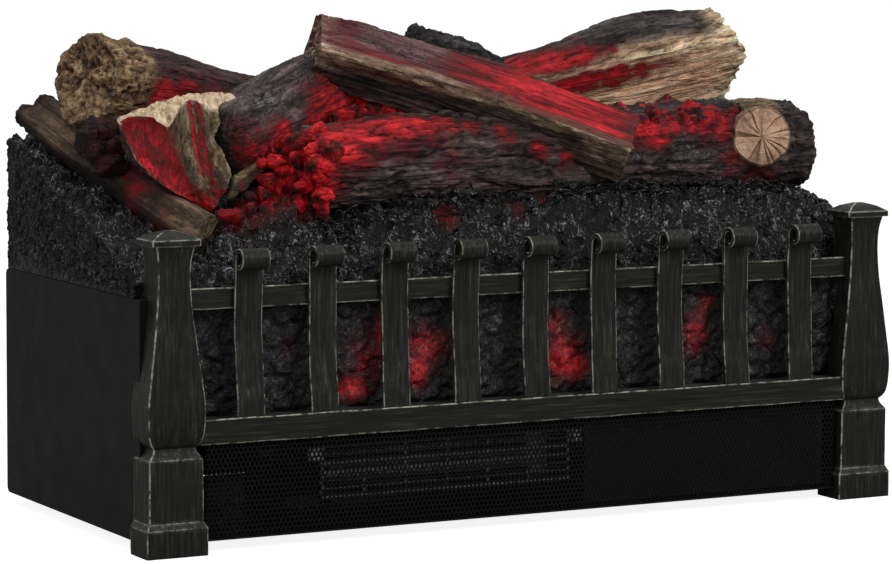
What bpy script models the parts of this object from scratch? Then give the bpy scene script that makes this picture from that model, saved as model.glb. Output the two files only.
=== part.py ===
"""An electric log set: a fire basket front, a sheet case with a fan heater, and lit logs on an ember bed.

Lengths are metres and +Z is up. Every piece is placed from the case's left front bottom corner, x to the
right, y to the back, z up. One empty carries them all and puts the origin under the middle of the part.
"""

import math

import bmesh
import bpy
from mathutils import Matrix, Vector, noise

# Overall
overall_width = 0.521
# from the posts' front faces to the back
back_y = 0.228
gap = 0.0003
overcut = 0.002
round_sides = 20
small_sides = 14
sheet = 0.0012
degree = math.pi / 180
smooth_angle = 35 * degree
# a face looks along an axis where at least this share of its normal does
along_axis_share = 0.9

# Posts of the fire basket
post_width = 0.039
post_depth = 0.025
post_height = 0.190
post_edge = 0.0007
# height, width, front and back of each section, as shares of the post
post_section_shares = (
    (0.000, 1.00, 0.00, 1.00),
    (0.086, 1.00, 0.00, 1.00),
    (0.105, 0.89, 0.07, 1.00),
    (0.300, 0.88, 0.07, 1.00),
    (0.322, 0.71, 0.16, 1.00),
    (0.334, 0.68, 0.18, 1.00),
    (0.347, 0.80, 0.10, 1.00),
    (0.370, 0.89, 0.05, 1.00),
    (0.410, 0.93, 0.02, 1.00),
    (0.470, 0.93, 0.01, 1.00),
    (0.550, 0.84, 0.04, 1.00),
    (0.650, 0.71, 0.08, 1.00),
    (0.760, 0.58, 0.14, 1.00),
    (0.850, 0.53, 0.16, 0.99),
    (0.910, 0.55, 0.14, 0.97),
    (0.954, 0.63, 0.08, 0.96),
    (0.955, 0.79, 0.01, 0.99),
    (0.973, 0.79, 0.01, 0.99),
    (0.990, 0.50, 0.20, 0.80),
    (1.000, 0.16, 0.42, 0.58),
)

# Rails and bars
rail_height = 0.015
rail_thick = 0.004
bottom_rail_front = 0.002
bottom_rail_z = 0.0645
bottom_rail_inset = 0.0355
top_rail_front = 0.0097
top_rail_z = 0.143
top_rail_height = 0.0125
top_rail_inset = 0.0285
rail_edge = 0.0008
bar_count = 9
# from a post to the middle line of the bar beside it
bar_inset = 0.0287
bar_pitch = (overall_width - 2 * (post_width + bar_inset)) / (bar_count - 1)
bar_width = 0.0181
bar_thick = 0.0028
bar_steps = 3
# depth and height of the bar's middle line above the bottom rail, as shares of the scroll's height
bar_line_shares = (
    (0.042, 0.000),
    (0.049, 0.115),
    (0.063, 0.229),
    (0.079, 0.441),
    (0.084, 0.583),
    (0.083, 0.797),
    (0.078, 0.917),
)
scroll_radius = 0.00575
scroll_tip_share = 0.72
scroll_turn = 285 * degree
scroll_steps = 12
scroll_z = 0.1717
scroll_y = 0.00125

# Case
case_inset = 0.003
case_front = 0.017
case_bottom = 0.007
case_top = 0.1493
case_corner = 0.004
case_corner_steps = 4
case_flange = 0.010
rear_recess = 0.005
shelf_top = 0.0782
tongue_front = 0.0063
vent_count = 10
vent_width = 0.005
vent_height = 0.034
vent_pitch = 0.012
vent_left_share = 0.288
vent_z = 0.030
foot_radius = 0.009
foot_taper_share = 0.9
foot_inset_share = 0.307
foot_back = 0.030

# Grille between the posts
net_columns = 36
net_rows = 5
net_wire = 0.0012
net_top = 0.0762

# Heater and fan
duct_left_share = 0.2342
duct_right_share = 0.5633
duct_front = 0.022
duct_depth = 0.048
duct_bottom = 0.024
duct_height = 0.032
leg_depth = 0.016
leg_thick = 0.0024
leg_inset = 0.016
ear_width = 0.009
ear_height = 0.008
ear_z = 0.0475
guard_columns = 6
guard_rows = 6
guard_wire = 0.0014
element_radius = 0.0022
weld_distance = 0.00002
element_inset = 0.008
element_passes = 3
cutout_radius = 0.008
cutout_height = 0.006
wheel_radius = 0.024
wheel_y = 0.095
wheel_z = 0.042
wheel_inset = 0.004
blade_count = 14
blade_depth = 0.008
blade_thick = 0.0014
blade_turn = 35 * degree
disc_thick = 0.002
shaft_radius = 0.003
shaft_tail = 0.006
shaft_reach = 0.028
running_clearance = 0.00005
scroll_gap = 0.003
scroll_growth = 0.004
housing_start = -115 * degree
housing_turn = 180 * degree
housing_steps = 12
end_plate_back = 0.034
end_plate_top = 0.030
bearing_radius = 0.008
bearing_length = 0.005
stator_width = 0.014
stator_size = 0.044
stator_room = 0.0045
rotor_radius = 0.0115
rotor_air = 0.0004
bracket_thick = 0.0024

# Control box, boards and back controls
box_room = 0.0095
box_inset = 0.041
box_front = 0.018
box_depth = 0.044
box_height = 0.050
board_thick = 0.0016
board_margin = 0.004
component_size = 0.011
# place along the board, and height, of each component
component_shares = ((0.15, 0.9), (0.35, 0.6), (0.55, 0.9), (0.80, 1.4))
led_board_count = 3
led_board_width_share = 0.2303
led_board_depth = 0.036
led_board_pitch_share = 0.307
led_board_y = 0.085
led_size = 0.006
led_height = 0.002
led_count = 5
switch_inset = 0.116
switch_z = 0.105
rocker_width = 0.012
rocker_pitch = 0.018
rocker_height = 0.016
rocker_depth = 0.005
rocker_lip = 0.0015
rocker_tail_share = 0.6
rocker_shoulder_share = 0.2
rocker_rest = 10 * degree
rocker_room = 0.0012
rocker_pin = 0.0012
rocker_shell = 0.0022
block_depth = 0.012
gland_inset = 0.051
gland_z = 0.035
gland_radius = 0.0065
gland_bore = 0.0034
gland_flange = 0.0095
gland_stand = 0.003
gland_length = 0.014
screw_radius = 0.0017
screw_head_radius = 0.0034
screw_head_height = 0.0016
screw_length = 0.006
rear_screw_inset = 0.016

# Ember bed and the panel behind the bars. The pile is the bed and the logs on it.
pile_rise = 0.160
bed_rise_share = 0.5125
bed_rise = bed_rise_share * pile_rise
bed_front = 0.0155
bed_back = 0.0012
bed_wall = 0.0055
bed_columns = 72
bed_rows = 30
hollow_columns = 36
hollow_rows = 24
# the bed is crumpled into chips of about this length, each of which leans its own way
chip_length = 0.0155
chip_rise = 0.0026
chip_lean_share = 2.4
post_clearing = 0.0010
clearing_slope = 0.006
bed_x_shares = (0.0, 0.11, 0.23, 0.38, 0.58, 0.77, 0.91, 1.0)
bed_y_shares = (0.0, 0.12, 0.28, 0.45, 0.65, 0.84, 1.0)
# height of the bed over its rim, from front to back, each row from left to right
bed_height_shares = (
    (0.03, 0.04, 0.05, 0.06, 0.06, 0.05, 0.04, 0.03),
    (0.18, 0.20, 0.34, 0.55, 0.60, 0.59, 0.55, 0.30),
    (0.36, 0.36, 0.64, 0.58, 0.58, 0.58, 0.57, 0.45),
    (0.52, 0.55, 0.68, 0.64, 0.64, 0.64, 0.60, 0.48),
    (0.68, 0.76, 0.74, 0.74, 0.80, 0.84, 0.80, 0.50),
    (0.94, 0.90, 0.84, 0.84, 0.86, 0.88, 0.84, 0.52),
    (0.98, 0.92, 0.80, 0.78, 0.78, 0.78, 0.74, 0.50),
)
ember_front = 0.0195
ember_back = 0.0270
ember_relief = 0.0030
ember_columns = 34
ember_rows = 6
ember_lump_length = 0.0105

# Logs. Each has the ends of its middle line, as shares of the width, of the depth and of the pile's
# rise, then its radius as a share of that rise. Their sections and forms along the line follow.
log_sides = 18
log_stations = 9
log_knurl_share = 0.05
stub_radius_share = 0.121875
stub_sides = 16
log_front_ends_shares = ((0.259, 0.289, 0.431), (0.948, 0.377, 0.456))
log_front_radius_share = 0.184375
stub_ends_shares = ((0.887, 0.368, 0.490), (0.862, 0.202, 0.512))
log_top_ends_shares = ((0.314, 0.502, 0.890), (0.674, 0.202, 0.490))
log_top_radius_share = 0.1875
log_back_right_ends_shares = ((0.553, 0.746, 0.568), (0.925, 0.667, 0.821))
log_back_right_radius_share = 0.190625
log_back_left_ends_shares = ((0.050, 0.667, 0.765), (0.365, 0.789, 0.552))
log_back_left_radius_share = 0.1625
log_centre_ends_shares = ((0.173, 0.430, 0.521), (0.434, 0.654, 0.796))
log_centre_radius_share = 0.171875
log_fork_ends_shares = ((0.140, 0.281, 0.252), (0.138, 0.491, 0.652))
log_fork_radius_share = 0.23125
log_branch_ends_shares = ((0.030, 0.925, 0.624), (0.115, 0.228, 0.193))
log_branch_radius_share = 0.090625
log_chip_ends_shares = ((0.495, 0.728, 0.859), (0.614, 0.728, 0.746))
log_chip_radius_share = 0.1

FINISHES = {
    "antique_black": ((0.030, 0.030, 0.026), 0.42, 0.6),
    "charcoal_sheet": ((0.028, 0.028, 0.026), 0.70, 0.0),
    "black_mesh": ((0.010, 0.010, 0.010), 0.50, 0.5),
    "zinc_sheet": ((0.450, 0.460, 0.470), 0.35, 1.0),
    "bright_screw": ((0.600, 0.600, 0.600), 0.30, 1.0),
    "black_plastic": ((0.020, 0.020, 0.020), 0.45, 0.0),
    "rubber": ((0.015, 0.015, 0.015), 0.85, 0.0),
    "circuit_board": ((0.050, 0.180, 0.080), 0.55, 0.0),
    "char": ((0.025, 0.025, 0.027), 0.80, 0.0),
    "bark": ((0.060, 0.040, 0.032), 0.85, 0.0),
    "bronze": ((0.550, 0.380, 0.180), 0.35, 1.0),
    "steel": ((0.420, 0.420, 0.430), 0.35, 1.0),
}


def clear_scene():
    for old in list(bpy.data.objects):
        bpy.data.objects.remove(old, do_unlink=True)


def make_collection(name):
    collection = bpy.data.collections.new(name)
    bpy.context.scene.collection.children.link(collection)
    return collection


clear_scene()
PARTS = make_collection("electric_log_set")
CUTTERS = make_collection("cutters")
ORIGIN = bpy.data.objects.new("case_corner", None)
PARTS.objects.link(ORIGIN)


def finish_material(name, finish):
    """One Principled material for one piece."""
    colour, roughness, metallic = FINISHES[finish]
    material = bpy.data.materials.new(name + "_finish")
    material.use_nodes = True
    shader = material.node_tree.nodes["Principled BSDF"]
    shader.inputs["Base Color"].default_value = (*colour, 1)
    shader.inputs["Roughness"].default_value = roughness
    shader.inputs["Metallic"].default_value = metallic
    return material


def place(name, mesh, finish, where=(0, 0, 0)):
    """Put a mesh in the scene as a named piece of the part."""
    piece = bpy.data.objects.new(name, mesh)
    PARTS.objects.link(piece)
    piece.parent = ORIGIN
    piece.location = where
    piece.data.materials.append(finish_material(name, finish))
    return piece


def place_cutter(name, mesh, where=(0, 0, 0)):
    cutter = bpy.data.objects.new(name, mesh)
    CUTTERS.objects.link(cutter)
    cutter.parent = ORIGIN
    cutter.location = where
    cutter.hide_render = True
    cutter.display_type = "WIRE"
    return cutter


def to_mesh(bm, name):
    mesh = bpy.data.meshes.new(name)
    bm.to_mesh(mesh)
    bm.free()
    return mesh


def combine(piece, other, operation):
    modifier = piece.modifiers.new(operation.lower(), "BOOLEAN")
    modifier.operation = operation
    modifier.solver = "EXACT"
    modifier.object = other


def cut(piece, mesh, where=(0, 0, 0)):
    combine(piece, place_cutter(piece.name + "_cutter", mesh, where), "DIFFERENCE")


def join(piece, mesh, where=(0, 0, 0)):
    combine(piece, place_cutter(piece.name + "_addition", mesh, where), "UNION")


def bevel(piece, width, segments=1, angle=smooth_angle):
    modifier = piece.modifiers.new("bevel", "BEVEL")
    modifier.width = width
    modifier.segments = segments
    modifier.limit_method = "ANGLE"
    modifier.angle_limit = angle


def thicken(piece, thickness, offset=-1):
    modifier = piece.modifiers.new("sheet", "SOLIDIFY")
    modifier.thickness = thickness
    modifier.offset = offset
    modifier.use_even_offset = True


def box_mesh(low, high):
    low = Vector(low)
    high = Vector(high)
    bm = bmesh.new()
    centre = Matrix.Translation((low + high) / 2)
    bmesh.ops.create_cube(bm, size=1, matrix=centre @ Matrix.Diagonal((*(high - low), 1)))
    return to_mesh(bm, "box")


def grown(low, high, by):
    """The corners of a box made larger all round."""
    return [v - by for v in low], [v + by for v in high]


def rod_mesh(start, end, radius, sides=round_sides, end_radius=None):
    """A cylinder or cone between two points."""
    start = Vector(start)
    end = Vector(end)
    run = end - start
    turn = Vector((0, 0, 1)).rotation_difference(run.normalized()).to_matrix().to_4x4()
    bm = bmesh.new()
    bmesh.ops.create_cone(
        bm,
        cap_ends=True,
        segments=sides,
        radius1=radius,
        radius2=radius if end_radius is None else end_radius,
        depth=run.length,
        matrix=Matrix.Translation((start + end) / 2) @ turn,
    )
    return to_mesh(bm, "rod")


def rod_on_x(left, right, radius):
    return rod_mesh((left, 0, 0), (right, 0, 0), radius)


def round_shading(piece):
    piece.data.shade_smooth()
    piece.data.set_sharp_from_angle(angle=smooth_angle)


def loft_mesh(rings):
    """A closed solid through rings of points, capped at both ends."""
    bm = bmesh.new()
    rows = [[bm.verts.new(point) for point in ring] for ring in rings]
    for near, far in zip(rows, rows[1:]):
        for k in range(len(near)):
            after = (k + 1) % len(near)
            bm.faces.new((near[k], near[after], far[after], far[k]))
    bmesh.ops.triangulate(bm, faces=bm.faces, quad_method="FIXED")
    bm.faces.new(list(reversed(rows[0])))
    bm.faces.new(rows[-1])
    bmesh.ops.recalc_face_normals(bm, faces=bm.faces)
    return to_mesh(bm, "loft")


def ribbon_mesh(line, left, right):
    """A sheet that follows a line in the YZ plane, from x = left to x = right."""
    bm = bmesh.new()
    edges = []
    verts = [bm.verts.new((left, y, z)) for y, z in line]
    for first, second in zip(verts, verts[1:]):
        edges.append(bm.edges.new((first, second)))
    swept = bmesh.ops.extrude_edge_only(bm, edges=edges)
    moved = [item for item in swept["geom"] if isinstance(item, bmesh.types.BMVert)]
    bmesh.ops.translate(bm, verts=moved, vec=(right - left, 0, 0))
    return to_mesh(bm, "ribbon")


def extrusion_mesh(outline, left, right):
    """A solid bar along X whose section is an outline of (y, z) points."""
    return loft_mesh([[(x, y, z) for y, z in outline] for x in (left, right)])


def plate_mesh(outline, bottom, top):
    """A flat plate whose plan is an outline of (x, y) points."""
    return loft_mesh([[(x, y, z) for x, y in outline] for z in (bottom, top)])


def smooth_line(points, steps):
    """A Catmull-Rom line through points, with so many steps between each two."""
    points = [Vector(point) for point in points]
    padded = [2 * points[0] - points[1], *points, 2 * points[-1] - points[-2]]
    line = []
    for before, here, there, after in zip(padded, padded[1:], padded[2:], padded[3:]):
        for step in range(steps):
            t = step / steps
            line.append(
                here
                + (there - before) * (t / 2)
                + (2 * before - 5 * here + 4 * there - after) * (t * t / 2)
                + (3 * here - before - 3 * there + after) * (t * t * t / 2)
            )
    line.append(points[-1])
    return line


def ease(t):
    return t * t * (3 - 2 * t)


def table_value(x, y, columns, rows, table):
    """A smooth height between the places of a table."""
    i = max(k for k in range(len(columns) - 1) if x >= columns[k] or k == 0)
    j = max(k for k in range(len(rows) - 1) if y >= rows[k] or k == 0)
    s = ease(min(1, max(0, (x - columns[i]) / (columns[i + 1] - columns[i]))))
    t = ease(min(1, max(0, (y - rows[j]) / (rows[j + 1] - rows[j]))))
    near = table[j][i] * (1 - s) + table[j][i + 1] * s
    far = table[j + 1][i] * (1 - s) + table[j + 1][i + 1] * s
    return near * (1 - t) + far * t


# Places that several pieces share
case_left = case_inset
case_right = overall_width - case_inset
inner_left = case_left + sheet + gap
inner_right = case_right - sheet - gap
rear_face = back_y - rear_recess
pan_bottom = case_bottom
pan_top = pan_bottom + sheet
shelf_bottom = shelf_top - sheet
tongue_left = post_width + gap
tongue_right = overall_width - post_width - gap
bottom_rail_back = bottom_rail_front + rail_thick
bottom_rail_top = bottom_rail_z + rail_height
top_rail_back = top_rail_front + rail_thick
bed_rim = case_top + gap
duct_left = duct_left_share * overall_width
duct_right = duct_right_share * overall_width
duct_top = duct_bottom + duct_height
duct_back = duct_front + duct_depth
stator_left = duct_right + stator_room
box_left = duct_right + box_room
box_right = overall_width - box_inset
switch_x = overall_width - switch_inset
gland_x = overall_width - gland_inset


def add_post(name, centre):
    """One post, notched behind for the case and pocketed for the rails' ends."""
    rings = []
    for height, width, front, back in post_section_shares:
        half = width * post_width / 2
        y0 = front * post_depth
        y1 = back * post_depth
        z = height * post_height
        rings.append([(-half, y0, z), (half, y0, z), (half, y1, z), (-half, y1, z)])
    post = place(name, loft_mesh(rings), "antique_black", (centre, 0, 0))
    bevel(post, post_edge)
    outer = case_inset - gap
    low = (outer, case_front - gap, case_bottom - gap)
    high = (overall_width - outer, post_depth + overcut, case_top + gap)
    cut(post, box_mesh(low, high))
    cut(post, box_mesh(*grown(*bottom_rail_box(), gap)))
    cut(post, box_mesh(*grown(*top_rail_box(), gap)))
    return post


def bottom_rail_box():
    low = (bottom_rail_inset, bottom_rail_front, bottom_rail_z)
    high = (overall_width - bottom_rail_inset, bottom_rail_back, bottom_rail_top)
    return low, high


def top_rail_box():
    low = (top_rail_inset, top_rail_front, top_rail_z)
    high = (overall_width - top_rail_inset, top_rail_back, top_rail_z + top_rail_height)
    return low, high


def bar_line():
    """The middle line of a grate bar, from the bottom rail up and round its scroll."""
    foot = bottom_rail_top + gap
    rise = scroll_z - foot
    line = [(y * rise, foot + z * rise) for y, z in bar_line_shares]
    line = [(p.x, p.y) for p in smooth_line([Vector(p) for p in line], bar_steps)]
    for step in range(scroll_steps + 1):
        t = step / scroll_steps
        radius = scroll_radius * (1 + (scroll_tip_share - 1) * t * t)
        angle = scroll_turn * t
        line.append((scroll_y + radius * math.cos(angle), scroll_z + radius * math.sin(angle)))
    return line


def add_grate():
    add_post("left_post", post_width / 2)
    add_post("right_post", overall_width - post_width / 2)
    for name, corners in (("bottom_rail", bottom_rail_box()), ("top_rail", top_rail_box())):
        rail = place(name, box_mesh(*corners), "antique_black")
        bevel(rail, rail_edge)
    for number in range(bar_count):
        centre = overall_width / 2 + (number - (bar_count - 1) / 2) * bar_pitch
        mesh = ribbon_mesh(bar_line(), -bar_width / 2, bar_width / 2)
        bar = place(f"grate_bar_{number + 1}", mesh, "antique_black", (centre, 0, 0))
        thicken(bar, bar_thick, 0)
        round_shading(bar)


def arc_points(centre, radius, first, last, steps):
    """Points of an arc in a plane, angles in degrees."""
    points = []
    for step in range(steps + 1):
        angle = (first + (last - first) * step / steps) * degree
        points.append((centre[0] + radius * math.cos(angle), centre[1] + radius * math.sin(angle)))
    return points


def add_side_panel(name, outer, inner):
    """A sheet side with a flange along its top and its front, and round corners at the back."""
    low_corner = (back_y - case_corner, case_bottom + case_corner)
    high_corner = (back_y - case_corner, case_top - case_corner)
    outline = [(case_front, case_top), (case_front, case_bottom)]
    outline += arc_points(low_corner, case_corner, -90, 0, case_corner_steps)
    outline += arc_points(high_corner, case_corner, 0, 90, case_corner_steps)
    wall = outer + math.copysign(sheet, inner - outer)
    panel = place(name, extrusion_mesh(outline, min(outer, wall), max(outer, wall)), "charcoal_sheet")
    middle = (outer + wall) / 2
    low = (min(middle, inner), case_front, case_top - sheet)
    high = (max(middle, inner), rear_face - gap, case_top)
    join(panel, box_mesh(low, high))
    low = (min(middle, inner), case_front, case_bottom)
    high = (max(middle, inner), case_front + sheet, case_top)
    join(panel, box_mesh(low, high))
    return panel


def tongued_outline(front):
    """The plan of a plate between the side panels, with a tongue between the posts."""
    wide_front = case_front + sheet + gap
    back = rear_face
    return [
        (tongue_left, front), (tongue_right, front), (tongue_right, wide_front), (inner_right, wide_front),
        (inner_right, back), (inner_left, back), (inner_left, wide_front), (tongue_left, wide_front),
    ]


def add_rear_panel():
    """A shallow tray that closes the back, with air slots and holes for the controls and the gland."""
    low = (inner_left, rear_face, pan_top + gap)
    high = (inner_right, back_y - gap, case_top)
    bm = bmesh.new()
    bm.from_mesh(box_mesh(low, high))
    bm.normal_update()
    back_faces = [face for face in bm.faces if face.normal.y > along_axis_share]
    bmesh.ops.delete(bm, geom=back_faces, context="FACES")
    panel = place("rear_panel", to_mesh(bm, "rear_panel"), "charcoal_sheet")
    thicken(panel, sheet)
    for number in range(vent_count):
        left = vent_left_share * overall_width + number * vent_pitch
        low = (left, rear_face - overcut, vent_z)
        high = (left + vent_width, rear_face + sheet + overcut, vent_z + vent_height)
        cut(panel, box_mesh(low, high))
    low, high = switch_block_box()
    cut(panel, box_mesh(*grown(low, high, gap)))
    cut(panel, rod_mesh(*rear_axis(gland_x, gland_z), gland_radius + gap))
    for x, z in rear_screw_places():
        cut(panel, rod_mesh(*rear_axis(x, z), screw_radius + gap, small_sides))
    return panel


def rear_axis(x, z):
    return (x, rear_face - overcut, z), (x, rear_face + sheet + overcut, z)


def rear_screw_places():
    for x in (inner_left + rear_screw_inset, inner_right - rear_screw_inset):
        for z in (pan_top + rear_screw_inset, case_top - rear_screw_inset):
            yield x, z


def add_screw(name, seat, direction):
    """A low headed screw whose head sits on a face at seat, with its shank along direction."""
    seat = Vector(seat)
    direction = Vector(direction)
    head_start = seat - direction * (gap + screw_head_height)
    mesh = rod_mesh(head_start, seat - direction * gap, screw_head_radius, small_sides)
    screw = place(name, mesh, "bright_screw")
    shank_start = head_start + direction * gap
    join(screw, rod_mesh(shank_start, seat + direction * screw_length, screw_radius, small_sides))
    return screw


def add_case():
    add_side_panel("left_side_panel", case_left, case_left + case_flange)
    add_side_panel("right_side_panel", case_right, case_right - case_flange)
    add_rear_panel()
    outline = tongued_outline(tongue_front)
    place("base_pan", plate_mesh(outline, pan_bottom, pan_top), "charcoal_sheet")
    place("light_deck", plate_mesh(outline, shelf_bottom, shelf_top), "zinc_sheet")
    for number, (x, z) in enumerate(rear_screw_places()):
        add_screw(f"rear_screw_{number + 1}", (x, rear_face + sheet, z), (0, -1, 0))
    foot_x = foot_inset_share * overall_width
    for name, x in (("rear_foot_left", foot_x), ("rear_foot_right", overall_width - foot_x)):
        y = back_y - foot_back
        tread = foot_radius * foot_taper_share
        mesh = rod_mesh((x, y, 0), (x, y, pan_bottom - gap), tread, round_sides, foot_radius)
        round_shading(place(name, mesh, "rubber"))


def net_mesh(left, right, y, bottom, top, columns, rows):
    """A flat grid in the XZ plane, for a Wireframe modifier to turn into a net."""
    bm = bmesh.new()
    bmesh.ops.create_grid(bm, x_segments=columns, y_segments=rows, size=1)
    centre = Matrix.Translation(((left + right) / 2, y, (bottom + top) / 2))
    upright = Matrix.Rotation(math.pi / 2, 4, "X")
    bm.transform(centre @ upright @ Matrix.Diagonal(((right - left) / 2, (top - bottom) / 2, 1, 1)))
    return to_mesh(bm, "net")


def make_net(piece, wire):
    modifier = piece.modifiers.new("net", "WIREFRAME")
    modifier.thickness = wire
    modifier.use_boundary = True
    modifier.use_even_offset = True
    modifier.use_relative_offset = False
    modifier.use_replace = True


def add_grille():
    half = net_wire / 2
    y = bottom_rail_back + gap + half
    bottom = pan_top + gap + half
    mesh = net_mesh(tongue_left + half, tongue_right - half, y, bottom, net_top, net_columns, net_rows)
    make_net(place("mesh_grille", mesh, "black_mesh"), net_wire)


def add_duct():
    """The heater's outlet duct with its wire guard, element and thermal cut-out."""
    low = (duct_left, duct_front, duct_bottom)
    high = (duct_right, duct_back, duct_top)
    bm = bmesh.new()
    bm.from_mesh(box_mesh(low, high))
    bm.normal_update()
    ends = [face for face in bm.faces if abs(face.normal.y) > along_axis_share]
    bmesh.ops.delete(bm, geom=ends, context="FACES")
    duct = place("heater_duct", to_mesh(bm, "heater_duct"), "zinc_sheet")
    thicken(duct, sheet)
    middle_y = (duct_front + duct_back) / 2
    for x in (duct_left + leg_inset, duct_right - leg_inset):
        low = (x - leg_thick / 2, middle_y - leg_depth / 2, pan_top + gap)
        high = (x + leg_thick / 2, middle_y + leg_depth / 2, duct_bottom + sheet / 2)
        join(duct, box_mesh(low, high))
    add_guard(duct)
    add_element()
    low = ((duct_left + duct_right) / 2, middle_y, duct_top + gap)
    high = (low[0], middle_y, low[2] + cutout_height)
    round_shading(place("thermal_cutout", rod_mesh(low, high, cutout_radius), "black_plastic"))


def add_guard(duct):
    """The wire guard over the outlet, screwed through its tabs to the duct's ears."""
    half = guard_wire / 2
    guard_back = duct_front - gap
    left = duct_left + half
    right = duct_right - half
    mesh = net_mesh(
        left, right, guard_back - half, duct_bottom + half, duct_top - half, guard_columns, guard_rows
    )
    guard = place("outlet_guard", mesh, "steel")
    make_net(guard, guard_wire)
    bottom = ear_z
    top = ear_z + ear_height
    for name, edge, outward in (("guard_screw_left", duct_left, -1), ("guard_screw_right", duct_right, 1)):
        far = edge + outward * ear_width
        ear_root = edge - outward * sheet / 2
        tab_root = edge - outward * half
        low = (min(far, ear_root), duct_front, bottom)
        high = (max(far, ear_root), duct_front + sheet, top)
        join(duct, box_mesh(low, high))
        tab_front = guard_back - half - sheet / 2
        low = (min(far, tab_root), tab_front, bottom)
        high = (max(far, tab_root), tab_front + sheet, top)
        join(guard, box_mesh(low, high))
        x = (edge + far) / 2
        z = (bottom + top) / 2
        start = (x, tab_front - overcut, z)
        end = (x, duct_front + sheet + overcut, z)
        for piece in (duct, guard):
            cut(piece, rod_mesh(start, end, screw_radius + gap, small_sides))
        add_screw(name, (x, tab_front, z), (0, 1, 0))


def element_line():
    """The heating element's route: straight passes across the duct, joined by half turns."""
    left = duct_left + sheet + element_inset
    right = duct_right - sheet - element_inset
    y = (duct_front + duct_back) / 2
    pitch = (duct_height - 2 * sheet - 2 * element_inset) / (element_passes - 1)
    bottom = duct_bottom + sheet + element_inset
    line = []
    for number in range(element_passes):
        ends = (left, right) if number % 2 == 0 else (right, left)
        z = bottom + number * pitch
        line += [(ends[0], y, z), (ends[1], y, z)]
        if number < element_passes - 1:
            outward = math.copysign(pitch / 2, ends[1] - ends[0])
            for step in (1, 2, 3):
                angle = math.pi * step / 4
                rise = pitch / 2 * (1 - math.cos(angle))
                line.append((ends[1] + outward * math.sin(angle), y, z + rise))
    return line


def tube_mesh(line, radius, resolution):
    """A closed tube along a line: a bevelled curve turned into a welded mesh."""
    curve = bpy.data.curves.new("tube", "CURVE")
    curve.dimensions = "3D"
    curve.bevel_depth = radius
    curve.bevel_resolution = resolution
    curve.use_fill_caps = True
    spline = curve.splines.new("POLY")
    spline.points.add(len(line) - 1)
    for point, place_at in zip(spline.points, line):
        point.co = (*place_at, 1)
    holder = bpy.data.objects.new("tube", curve)
    PARTS.objects.link(holder)
    bpy.context.view_layer.update()
    evaluated = holder.evaluated_get(bpy.context.evaluated_depsgraph_get())
    mesh = bpy.data.meshes.new_from_object(evaluated)
    bpy.data.objects.remove(holder, do_unlink=True)
    bm = bmesh.new()
    bm.from_mesh(mesh)
    bmesh.ops.remove_doubles(bm, verts=bm.verts, dist=weld_distance)
    bmesh.ops.recalc_face_normals(bm, faces=bm.faces)
    return to_mesh(bm, "tube")


def add_element():
    element = place("heating_element", tube_mesh(element_line(), element_radius, 1), "steel")
    element.data.shade_smooth()
    line = element_line()
    y = line[0][1]
    for x in (duct_left + sheet + gap, duct_right - sheet - gap):
        towards = math.copysign(element_inset + 2 * element_radius, (duct_left + duct_right) / 2 - x)
        low = (min(x, x + towards), y - sheet, duct_bottom + sheet + gap)
        high = (max(x, x + towards), y + sheet, duct_top - sheet - gap)
        join(element, box_mesh(low, high))


def add_fan():
    """The cross-flow fan behind the duct, its housing and its motor."""
    wheel_left = duct_left + wheel_inset
    wheel_right = duct_right - wheel_inset
    axis = (0, wheel_y, wheel_z)
    left_disc = rod_on_x(wheel_left, wheel_left + disc_thick, wheel_radius)
    wheel = place("fan_wheel", left_disc, "black_plastic", axis)
    join(wheel, rod_on_x(wheel_right - disc_thick, wheel_right, wheel_radius), axis)
    middle_left = (wheel_left + wheel_right - disc_thick) / 2
    join(wheel, rod_on_x(middle_left, middle_left + disc_thick, wheel_radius), axis)
    for number in range(blade_count):
        turn = Matrix.Rotation(2 * math.pi * number / blade_count, 4, "X")
        lean = Matrix.Rotation(blade_turn, 4, "X")
        out = Matrix.Translation((0, wheel_radius - blade_depth / 2 - blade_thick, 0))
        low = (wheel_left + disc_thick / 2, -blade_depth / 2, -blade_thick / 2)
        high = (wheel_right - disc_thick / 2, blade_depth / 2, blade_thick / 2)
        mesh = box_mesh(low, high)
        mesh.transform(turn @ out @ lean)
        join(wheel, mesh, axis)
    cut(wheel, rod_on_x(wheel_left - overcut, wheel_right + overcut, shaft_radius + gap), axis)
    shaft = (duct_left - shaft_tail, stator_left + shaft_reach)
    round_shading(place("fan_shaft", rod_on_x(*shaft, shaft_radius), "steel", axis))
    add_fan_housing()
    add_motor(axis)


def scroll_line():
    """The curved back of the fan's housing, from the duct's floor round behind the wheel."""
    inner = wheel_radius + scroll_gap
    line = [(duct_back + gap, duct_bottom + sheet / 2)]
    for step in range(housing_steps + 1):
        t = step / housing_steps
        angle = housing_start + housing_turn * t
        radius = inner + scroll_growth * t
        line.append((wheel_y + radius * math.cos(angle), wheel_z + radius * math.sin(angle)))
    return line


def add_fan_housing():
    left = duct_left + sheet + gap
    right = duct_right - sheet - gap
    scroll = place("fan_scroll", ribbon_mesh(scroll_line(), left, right), "zinc_sheet")
    thicken(scroll, sheet, 0)
    bottom = pan_top + gap
    back = wheel_y + end_plate_back
    top = wheel_z + end_plate_top
    ends = (
        ("fan_end_left", duct_left, bearing_radius + gap),
        ("fan_end_right", duct_right - sheet, shaft_radius + scroll_gap),
    )
    axis = (0, wheel_y, wheel_z)
    for name, x, bore in ends:
        plate = place(name, box_mesh((x, duct_back + gap, bottom), (x + sheet, back, top)), "zinc_sheet")
        cut(plate, rod_on_x(x - overcut, x + sheet + overcut, bore), axis)
    start = duct_left - bearing_length / 2
    end = duct_left + bearing_length / 2
    bearing = place("fan_bearing", rod_on_x(start, end, bearing_radius), "bronze", axis)
    cut(bearing, rod_on_x(start - overcut, end + overcut, shaft_radius + running_clearance), axis)


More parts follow.
